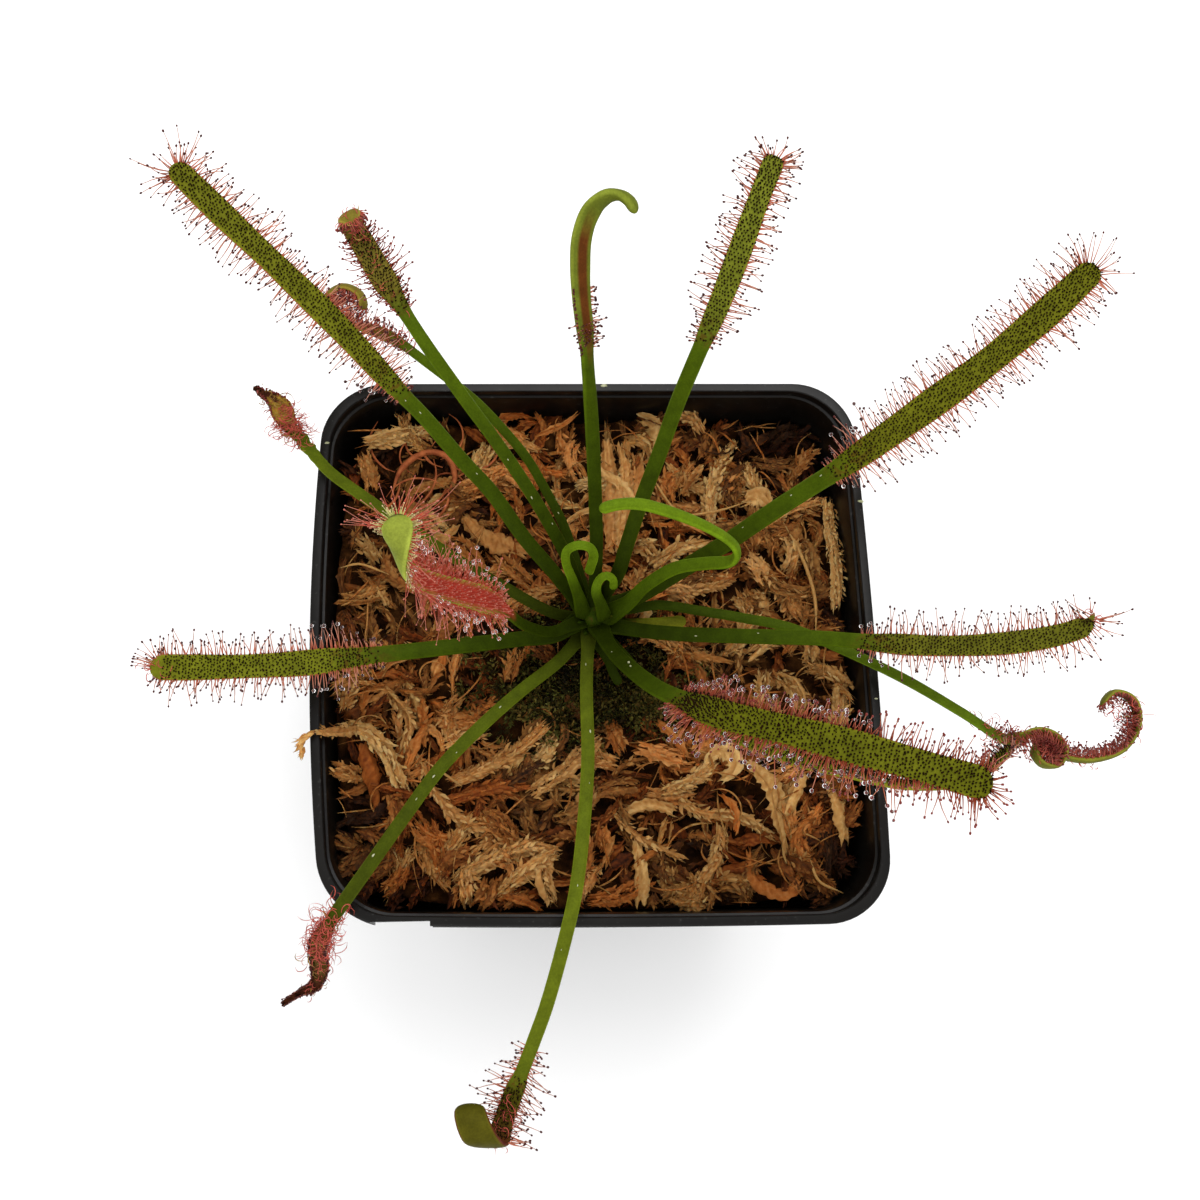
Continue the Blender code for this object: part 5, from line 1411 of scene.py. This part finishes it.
def ball_shape():
    """A unit ball of 20 faces."""
    t = (1 + math.sqrt(5)) / 2
    points = np.array([(-1, t, 0), (1, t, 0), (-1, -t, 0), (1, -t, 0), (0, -1, t), (0, 1, t), (0, -1, -t),
                       (0, 1, -t), (t, 0, -1), (t, 0, 1), (-t, 0, -1), (-t, 0, 1)], float)
    faces = [(0, 11, 5), (0, 5, 1), (0, 1, 7), (0, 7, 10), (0, 10, 11), (1, 5, 9), (5, 11, 4), (11, 10, 2),
             (10, 7, 6), (7, 1, 8), (3, 9, 4), (3, 4, 2), (3, 2, 6), (3, 6, 8), (3, 8, 9), (4, 9, 5),
             (2, 4, 11), (6, 2, 10), (8, 6, 7), (9, 8, 1)]
    return unit(points), np.array(faces)


def finer(points, faces):
    """A ball with each of its faces cut into four."""
    points, known, split = list(map(tuple, points)), {}, []

    def between(a, b):
        key = (min(a, b), max(a, b))
        if key not in known:
            known[key] = len(points)
            points.append(tuple(unit(np.add(points[a], points[b]))))
        return known[key]

    for a, b, c in faces:
        ab, bc, ca = between(a, b), between(b, c), between(c, a)
        split += [(a, ab, ca), (ab, b, bc), (ca, bc, c), (ab, bc, ca)]
    return np.array(points), np.array(split)


def margin_tentacles(rng, leaf, line, look):
    """Bases and directions along both edges: long ones that lie level and short ones that rise."""
    start = look["first"] * line.length if "first" in look else line.run_of(leaf["blade_from"] - 0.35)
    until = look["until"] * line.length
    stop = min(line.length - 0.3, look["stop"] * line.length)
    rows = []
    for sign, scale in ((-1, look["left"]), (1, 1.0)):
        run = np.arange(start, stop, look["every"])
        number = len(run)
        run = run + rng.uniform(-0.2, 0.2, number)
        place, along, side, up = line.at(run)
        wide, thick, _ = leaf_size(leaf, line, run)
        long = rng.random(number) < 0.42
        lift = np.where(long, rng.uniform(-20, 26, number), rng.uniform(0, 50, number)) * DEG
        lean = rng.normal(look["lean"], 0.17, number)
        way = (sign * side * np.cos(lift)[:, None] + up * np.sin(lift)[:, None] + along * lean[:, None])
        base = place + sign * side * (0.93 * wide)[:, None] + up * (0.2 * thick)[:, None]
        grow = np.clip((run - start) / 4, 0.4, 1) * np.where(run > until, 0.3, 1.0)
        length = np.where(long, rng.uniform(0.68, 1.08, number), rng.uniform(0.25, 0.66, number))
        curl = (look["curl"] + 0.5 * (run > until))[:, None]
        bend = up * curl * 0.9 - sign * side * curl * 0.6 + rng.normal(0, 0.11, way.shape)
        rows.append((base, unit(way), bend, look["margin"] * scale * length * grow, np.full(number, 1.0)))
    return [np.concatenate(part) for part in zip(*rows)]


def tip_tentacles(rng, leaf, line, look):
    """Ones that fan out from the tip."""
    number = look["fan"] if look["tip"] else 0
    turn = rng.uniform(-95, 95, number) * DEG
    wide = leaf["blade"][0] / 2
    place, along, side, up = line.at(np.full(number, line.length - 0.9 * wide))
    lift = rng.uniform(-15, 40, number) * DEG
    flat = along * np.cos(turn)[:, None] + side * np.sin(turn)[:, None]
    way = unit(flat * np.cos(lift)[:, None] + up * np.sin(lift)[:, None])
    length = look["tip"] * rng.uniform(0.35, 1.05, number)
    bend = up * look["curl"] + rng.normal(0, 0.12, way.shape)
    return [place + flat * 0.8 * wide, way, bend, length, np.full(number, 1.0)]


def face_tentacles(rng, leaf, line, look):
    """Short ones in staggered rows all over the upper side, which show from above as dark dots."""
    start = line.run_of(leaf["blade_from"] - 0.3)
    until = look["until"] * line.length
    spacing = FACE_SPACING * look["sparse"]
    rows = np.arange(start, until - 0.2, spacing)
    columns = max(3, round(leaf["blade"][0] / spacing))
    share = (np.arange(columns) + 0.5) / columns * 1.8 - 0.9
    run, share = (grid.copy() for grid in np.meshgrid(rows, share, indexing="ij"))
    share[::2] += 0.45 / columns
    share[1::2] -= 0.45 / columns
    run, share = run.reshape(-1), share.reshape(-1)
    keep = share > -1 + 2 * look["bare"]
    keep &= rng.random(len(run)) < np.clip((run - start) / 3, 0.35, 0.96)
    run, share = run[keep], share[keep]
    run = run + rng.normal(0, 0.07, len(run))
    share = share + rng.normal(0, 0.035, len(run))
    place, along, side, up = line.at(run)
    room = leaf_size(leaf, line, run)[0] > 0.17 * leaf["blade"][0]
    run, share, place, along, side, up = (part[room] for part in (run, share, place, along, side, up))
    wide, thick, _ = leaf_size(leaf, line, run)
    outer = np.abs(share) ** 2
    base = place + side * (share * wide)[:, None] + up * (thick * (0.5 - 0.25 * outer))[:, None]
    way = unit(up + side * (0.55 * share)[:, None] + rng.normal(0, 0.12, base.shape))
    length = look["face"] * (0.8 + 0.9 * outer) * rng.uniform(0.8, 1.2, len(run))
    bend = rng.normal(0, 0.1, base.shape)
    return [base, way, bend, length, np.full(len(run), 0.8)]


def view_back():
    """Direction from what the camera looks at to the camera."""
    azimuth, elevation = AZIMUTH * DEG, ELEVATION * DEG
    return np.array((math.sin(azimuth) * math.cos(elevation), -math.cos(azimuth) * math.cos(elevation),
                     math.sin(elevation)))


def behind(points):
    """Where the photo's lines of sight through points meet the height of the pot's lip."""
    eye = LOOK_AT + view_back() * DISTANCE
    return eye + (points - eye) * ((eye[2] - POT_HEIGHT) / (eye[2] - points[:, 2:]))


def tentacle_mesh(kind, stout, gland, rings, ball, ball_faces):
    """Tapered stalks of three sides with glands: points, stalk faces, gland faces, reach and ends."""
    base, way, bend, length, size = kind
    steps = np.linspace(0, 1, rings)
    middle = (base[:, None] + (way * length[:, None])[:, None] * steps[None, :, None]
              + (bend * length[:, None])[:, None] * (steps**2)[None, :, None])
    ahead = unit(np.gradient(middle, axis=1))
    other = np.where(np.abs(ahead[..., 2:3]) > 0.8, np.array([1.0, 0, 0]), np.array([0, 0, 1.0]))
    left = unit(np.cross(ahead, other))
    top = np.cross(ahead, left)
    turn = TURN * np.arange(3) / 3
    radius = STALK_RADIUS * stout * size[:, None] * (1.15 - 0.65 * steps[None, :])
    ring = (middle[:, :, None] + radius[:, :, None, None]
            * (np.cos(turn)[None, None, :, None] * left[:, :, None]
               + np.sin(turn)[None, None, :, None] * top[:, :, None]))
    end = middle[:, -1]
    glands = (end[:, None] + gland[:, None, None]
              * (1.35 * ball[None, :, 0:1] * ahead[:, -1:] + ball[None, :, 1:2] * left[:, -1:]
                 + ball[None, :, 2:3] * top[:, -1:]))
    quads = repeated(ring_faces(rings, 3), 3 * rings, len(base))
    corners = repeated(ball_faces, len(ball), len(base), 3 * rings * len(base))
    reach = np.concatenate([np.tile(np.repeat(steps, 3), len(base)), np.ones(len(ball) * len(base))])
    return np.vstack([ring.reshape(-1, 3), glands.reshape(-1, 3)]), quads, corners, reach, end


def tentacle_kinds(rng, leaf, line, look):
    """Where each kind grows, rings in its stalk, its gland, and whether it is drawn as dark dots."""
    rows = margin_tentacles(rng, leaf, line, look), tip_tentacles(rng, leaf, line, look)
    kinds = [([np.concatenate(part) for part in zip(*rows)], RIM_RINGS, ball_shape(), False)]
    if "face" in look:
        rings = 2 if look["face"] < 0.3 else 3
        kinds.insert(0, (face_tentacles(rng, leaf, line, look), rings, (DIAMOND, DIAMOND_FACES),
                         look["dark"]))
    return kinds


def grow_tentacles(name, leaf, line, look, materials, dew_spots):
    """All of one leaf's tentacles as one mesh. The many short ones on the face have fewer faces."""
    rng = np.random.default_rng(sum(map(ord, name)))
    look = {**COMMON_FRINGE, **look}
    kinds = tentacle_kinds(rng, leaf, line, look)
    length, size = (np.concatenate([kind[0][part] for kind in kinds]) for part in (3, 4))
    gland = GLAND_RADIUS * look["gland"] * size * rng.uniform(0.8, 1.2, len(size))
    points, faces, slots, reach, ends = [], [], [], [], []
    done = count = 0
    for kind, rings, ball, dotted in kinds:
        glands = gland[done:done + len(kind[0])]
        made = tentacle_mesh(kind, look["stout"], glands, rings, *ball)
        faces += (made[1] + count).tolist() + (made[2] + count).tolist()
        slots += [2 if dotted else 0] * len(made[1]) + [2 if dotted else 1] * len(made[2])
        points.append(made[0])
        reach.append(made[3])
        ends.append(made[4])
        done += len(glands)
        count += len(made[0])
    settle(new_piece(name, np.vstack(points), faces, materials, slots, reach=np.concatenate(reach)),
           "leaf_green")
    end = np.vstack(ends)
    over_pot = np.abs(behind(end)[:, :2]).max(axis=1) < POT_TOP / 2 + 1.5
    over_pot &= (size > 0.99) & (length > 0.9)
    dew_spots.append(end[over_pot & (rng.random(len(size)) < look["dew"])])


def curl_route(rng, start, length):
    """A shrivelled tentacle of five points from start, which bends more and more."""
    way, climb = rng.uniform(0, TURN), rng.normal(0, 0.4)
    curl = rng.choice((-1, 1)) * rng.uniform(0.15, 0.75)
    step = length * rng.uniform(0.4, 1.0) / 4
    route = [start]
    for _ in range(4):
        route.append(route[-1] + step * np.array([math.cos(way), math.sin(way), climb]))
        way += curl
        curl *= 1.4
    return route


def make_tangles(lines):
    """Shrivelled tentacles in loose curls on the old leaves."""
    red = stalk_material("tangle_red", (0.6, 0.11, 0.08), (0.5, 0.09, 0.06), (0.26, 0.035, 0.025))
    ochre = stalk_material("tangle_ochre", (0.45, 0.3, 0.07), (0.34, 0.2, 0.045), (0.2, 0.1, 0.03))
    for name, spots in TANGLES.items():
        rng = np.random.default_rng(sum(map(ord, name)) + 7)
        points, faces, slots, count = [], [], [], 0
        for first, last, gather, number, spread, length, yellow in spots:
            stretch = lines[name].at(np.linspace(first, last, 12) * lines[name].length)[0]
            middle = stretch.mean(axis=0)
            for _ in range(number):
                start = stretch[rng.integers(0, 12)]
                start = start + gather * (middle - start) + rng.normal(0, spread, 3) * (1, 1, 0.5)
                route = curl_route(rng, start, length)
                curve, sides = tubes([route], [rng.uniform(0.04, 0.08)], 3, 0.48)
                points.append(curve)
                faces += shifted(sides, count)
                slots += [int(rng.random() < yellow)] * len(sides)
                count += len(curve)
        reach = rng.uniform(0, 1, count)
        tangle = new_piece(name + "_tangle", np.vstack(points), faces, [red, ochre], slots, reach=reach)
        settle(tangle, "leaf_green")


def speck_groups(rng, lines):
    """Places, directions and sizes of the flecks, by the material slot of what they stick to."""
    on_leaves = []
    for name, specks in FLECKS.items():
        line = lines[name]
        for share, size in specks:
            run = np.array([share * line.length])
            place, along, side, up = (part[0] for part in line.at(run))
            wide, thick, _ = leaf_size(LEAVES[name], line, run)
            centre = place + up * 0.72 * thick[0] + side * rng.uniform(-0.4, 0.4) * wide[0]
            on_leaves.append((centre, along, -side, up, size))
    on_lip = [(np.array((x, y, POT_HEIGHT + 0.03)), *np.eye(3), size) for x, y, size in LIP_SPECKS]
    return {"leaf_green": on_leaves, "pot_plastic": on_lip}


def make_flecks(lines):
    """Pale specks that stick to the leaf stalks and to the pot's lip."""
    finish = cloudy_material("pale_fleck", 0.6, 0.2, 2000, 2, (0.25, 0.26, 0.12), (0.5, 0.5, 0.34))
    rng = np.random.default_rng(97)
    ball, ball_faces = finer(*ball_shape())
    for slot, specks in speck_groups(rng, lines).items():
        points = []
        for centre, along, side, up, size in specks:
            shape = ball * rng.uniform(0.5, 1.0, (len(ball), 1)) * size
            points.append(centre + shape[:, 0:1] * along + 0.4 * shape[:, 1:2] * side
                          + 0.2 * shape[:, 2:3] * up)
        faces = repeated(ball_faces, len(ball), len(specks)).tolist()
        settle(new_piece("flecks_on_" + slot, np.vstack(points), faces, [finish]), slot)


def make_dew(spots):
    """Clear drops round the glands that hang over the pot."""
    finish = cloudy_material("dew", 0.03, 0.5, 2500, 1, (1, 0.97, 0.96), 1, Transmission_Weight=1.0, IOR=1.36)
    spots = np.vstack(spots)
    ball, ball_faces = finer(*ball_shape())
    rng = np.random.default_rng(91)
    radius = DEW_RADIUS * rng.uniform(0.8, 1.2, len(spots))
    points = spots[:, None] + radius[:, None, None] * ball[None]
    faces = repeated(ball_faces, len(ball), len(spots)).tolist()
    settle(new_piece("dew_drops", points.reshape(-1, 3), faces, [finish]), "leaf_green")


def leaf_finishes():
    """One material for each leaf that looks different, and the common one."""
    brown_tip = {"tip": (0.06, 0.014, 0.008), "tip_from": 1.0}
    return {
        None: leaf_material("leaf_fresh", (0.122, 0.126, 0.007)),
        "leaf_back": leaf_material("leaf_bright_olive", (0.14, 0.155, 0.012)),
        "leaf_back_right": leaf_material("leaf_deep_olive", (0.11, 0.112, 0.005)),
        "leaf_left": leaf_material("leaf_red_tip", (0.135, 0.145, 0.008), tip=(0.05, 0.014, 0.006),
                                   tip_from=1.0),
        "leaf_right": leaf_material("leaf_dark_side", (0.11, 0.11, 0.008), tip=(0.04, 0.02, 0.006),
                                    tip_from=1.02),
        "leaf_front_right_raised": leaf_material("leaf_broad", (0.108, 0.113, 0.005)),
        "leaf_back_left_rolled_tip": leaf_material("leaf_rolled", (0.17, 0.135, 0.018), **brown_tip),
        "leaf_back_left_coiled": leaf_material("leaf_coiled", (0.15, 0.115, 0.014)),
        "leaf_right_curled": leaf_material("leaf_curled", (0.12, 0.12, 0.012), stalk=(0.07, 0.11, 0.004),
                                           groove=(0.13, 0.025, 0.012), face_from=0.56),
        "leaf_front_rolled_tip": leaf_material("leaf_roll", (0.065, 0.058, 0.004),
                                               stalk=(0.085, 0.108, 0.005), inner=(0.1, 0.016, 0.01),
                                               face_from=0.82, painted_shade=PALE_PAINTED_SHADE),
        "leaf_left_withered": leaf_material("leaf_ochre_tip", (0.34, 0.2, 0.025), stalk=(0.075, 0.1, 0.004),
                                            tip=(0.04, 0.012, 0.005), tip_from=0.98),
        "leaf_front_left_withered": leaf_material("leaf_brown_tip", (0.09, 0.055, 0.01),
                                                  stalk=(0.07, 0.092, 0.004), tip=(0.03, 0.008, 0.003),
                                                  painted_shade=FADING_PAINTED_SHADE),
        "leaf_raised": leaf_material("leaf_spoon", (0.2, 0.235, 0.03), streak=0.0, groove=(0.33, 0.034, 0.02),
                                     groove_edge=(0.5, 1.0), face_from=0.35, face_until=0.93),
        "leaf_back_hooked": leaf_material("leaf_hooked", (0.105, 0.125, 0.012), groove=(0.09, 0.027, 0.005),
                                          face_from=0.6, face_until=0.9),
        "young": leaf_material("leaf_young", (0.09, 0.148, 0.004), stalk=(0.078, 0.128, 0.003), streak=0.0,
                               painted_shade=YOUNG_PAINTED_SHADE),
    }


def tentacle_materials():
    """Stalk, gland and face materials by leaf: pink-red as a rule, crimson on the raised leaf."""
    dark = gland_material("tentacle_gland", (0.03, 0.006, 0.005), (0.09, 0.015, 0.012))
    dots = gland_material("tentacle_face", (0.006, 0.0025, 0.001), (0.018, 0.006, 0.002), gloss=0.03)
    wet = gland_material("tentacle_gland_wet", (0.1, 0.014, 0.011), (0.22, 0.034, 0.026))
    rosy = gland_material("tentacle_gland_rosy", (0.34, 0.05, 0.035), (0.5, 0.18, 0.12))
    usual = stalk_material("tentacle_stalk", (0.4, 0.09, 0.045), (0.5, 0.19, 0.12), (0.42, 0.22, 0.16))
    pink = stalk_material("tentacle_stalk_pink", (0.2, 0.028, 0.011), (0.36, 0.085, 0.042), (0.5, 0.21, 0.13))
    crimson = stalk_material("tentacle_stalk_red", (0.4, 0.035, 0.02), (0.45, 0.08, 0.045), (0.5, 0.2, 0.13))
    withered = stalk_material("tentacle_stalk_old", (0.34, 0.05, 0.03), (0.42, 0.1, 0.065), (0.3, 0.09, 0.06))
    old = [withered, wet, dots]
    return {None: [usual, dark, dots], "leaf_raised": [crimson, rosy, dots],
            "leaf_front_right_raised": [pink, wet, dots], "leaf_left_withered": old,
            "leaf_back_left_rolled_tip": old, "leaf_back_left_coiled": old, "leaf_right_curled": old}


def make_leaves():
    finishes, tentacles = leaf_finishes(), tentacle_materials()
    dew_spots, lines = [], {}
    for name, leaf in LEAVES.items():
        is_young = name in YOUNG_LEAVES
        surface = finishes["young"] if is_young else finishes.get(name, finishes[None])
        withered = 0.17 if "withered" in name else 0.0
        slot = "young_leaf_green" if is_young else "leaf_green"
        lines[name] = make_leaf(name, leaf, surface, slot, withered)
        if name in FRINGES:
            grow_tentacles(name + "_tentacles", leaf, lines[name], FRINGES[name],
                           tentacles.get(name, tentacles[None]), dew_spots)
    pale = stalk_material("spoon_hairs", (0.36, 0.4, 0.09), (0.5, 0.45, 0.16), (0.6, 0.5, 0.25))
    spoon, line = LEAVES["leaf_raised"], lines["leaf_raised"]
    grow_tentacles("spoon_fringe", spoon, line, SPOON_FRINGE, [pale, pale, pale], dew_spots)
    grow_tentacles("spoon_hairs", spoon, line, SPOON_HAIRS, tentacles["leaf_raised"], dew_spots)
    make_dew(dew_spots)
    make_tangles(lines)
    make_flecks(lines)


# Camera, light and floor

def make_camera():
    azimuth, roll = AZIMUTH * DEG, ROLL * DEG
    back = Vector(view_back())
    right = Vector((math.cos(azimuth), math.sin(azimuth), 0))
    up = back.cross(right)
    turned_right = right * math.cos(roll) + up * math.sin(roll)
    turned_up = up * math.cos(roll) - right * math.sin(roll)
    data = bpy.data.cameras.new("camera")
    data.sensor_width = SENSOR
    data.lens = LENS_PIXELS / IMAGE_PIXELS * SENSOR
    data.clip_start, data.clip_end = CLIP
    camera = bpy.data.objects.new("camera", data)
    bpy.context.scene.collection.objects.link(camera)
    turn = Matrix((turned_right, turned_up, back)).transposed().to_4x4()
    camera.matrix_world = Matrix.Translation((Vector(LOOK_AT) + back * DISTANCE) * MM) @ turn
    bpy.context.scene.camera = camera


def add_light(name, place, aim, size, power):
    data = bpy.data.lights.new(name, "AREA")
    data.shape = "DISK"
    data.size = size
    data.energy = power
    light = bpy.data.objects.new(name, data)
    light.location = place
    light.rotation_mode = "QUATERNION"
    light.rotation_quaternion = (Vector(aim) - Vector(place)).to_track_quat("-Z", "Y")
    bpy.context.scene.collection.objects.link(light)


def make_stage():
    world = bpy.data.worlds.new("world")
    world.use_nodes = True
    background = world.node_tree.nodes["Background"]
    background.inputs["Color"].default_value = (1, 1, 1, 1)
    background.inputs["Strength"].default_value = 1.0
    bpy.context.scene.world = world
    bpy.context.scene.view_settings.view_transform = "Standard"
    for lamp in LAMPS:
        add_light(*lamp)
    corners = [(-1, -1, 0), (1, -1, 0), (1, 1, 0), (-1, 1, 0)]
    finish = cloudy_material("floor", 0.8, 0.5, 6, 2, 0.93, 0.95)
    new_piece("floor", STAGE_HALF * np.array(corners), [(0, 1, 2, 3)], [finish])


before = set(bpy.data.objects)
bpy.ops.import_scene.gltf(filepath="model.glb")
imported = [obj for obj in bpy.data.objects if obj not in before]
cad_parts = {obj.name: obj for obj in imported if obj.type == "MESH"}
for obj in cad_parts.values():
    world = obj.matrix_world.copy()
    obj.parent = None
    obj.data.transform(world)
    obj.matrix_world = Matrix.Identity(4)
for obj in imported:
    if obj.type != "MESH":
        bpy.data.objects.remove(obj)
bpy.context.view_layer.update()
make_camera()
make_stage()
make_pot()
make_ground()
dry_moss = sphagnum_material("sphagnum", DRY_MOSS)
make_sphagnum(dry_moss)
make_marked_moss(dry_moss)
make_fibres(dry_moss)
make_strands(dry_moss)
make_cushion()
make_dead_leaf()
make_stem()
make_leaves()
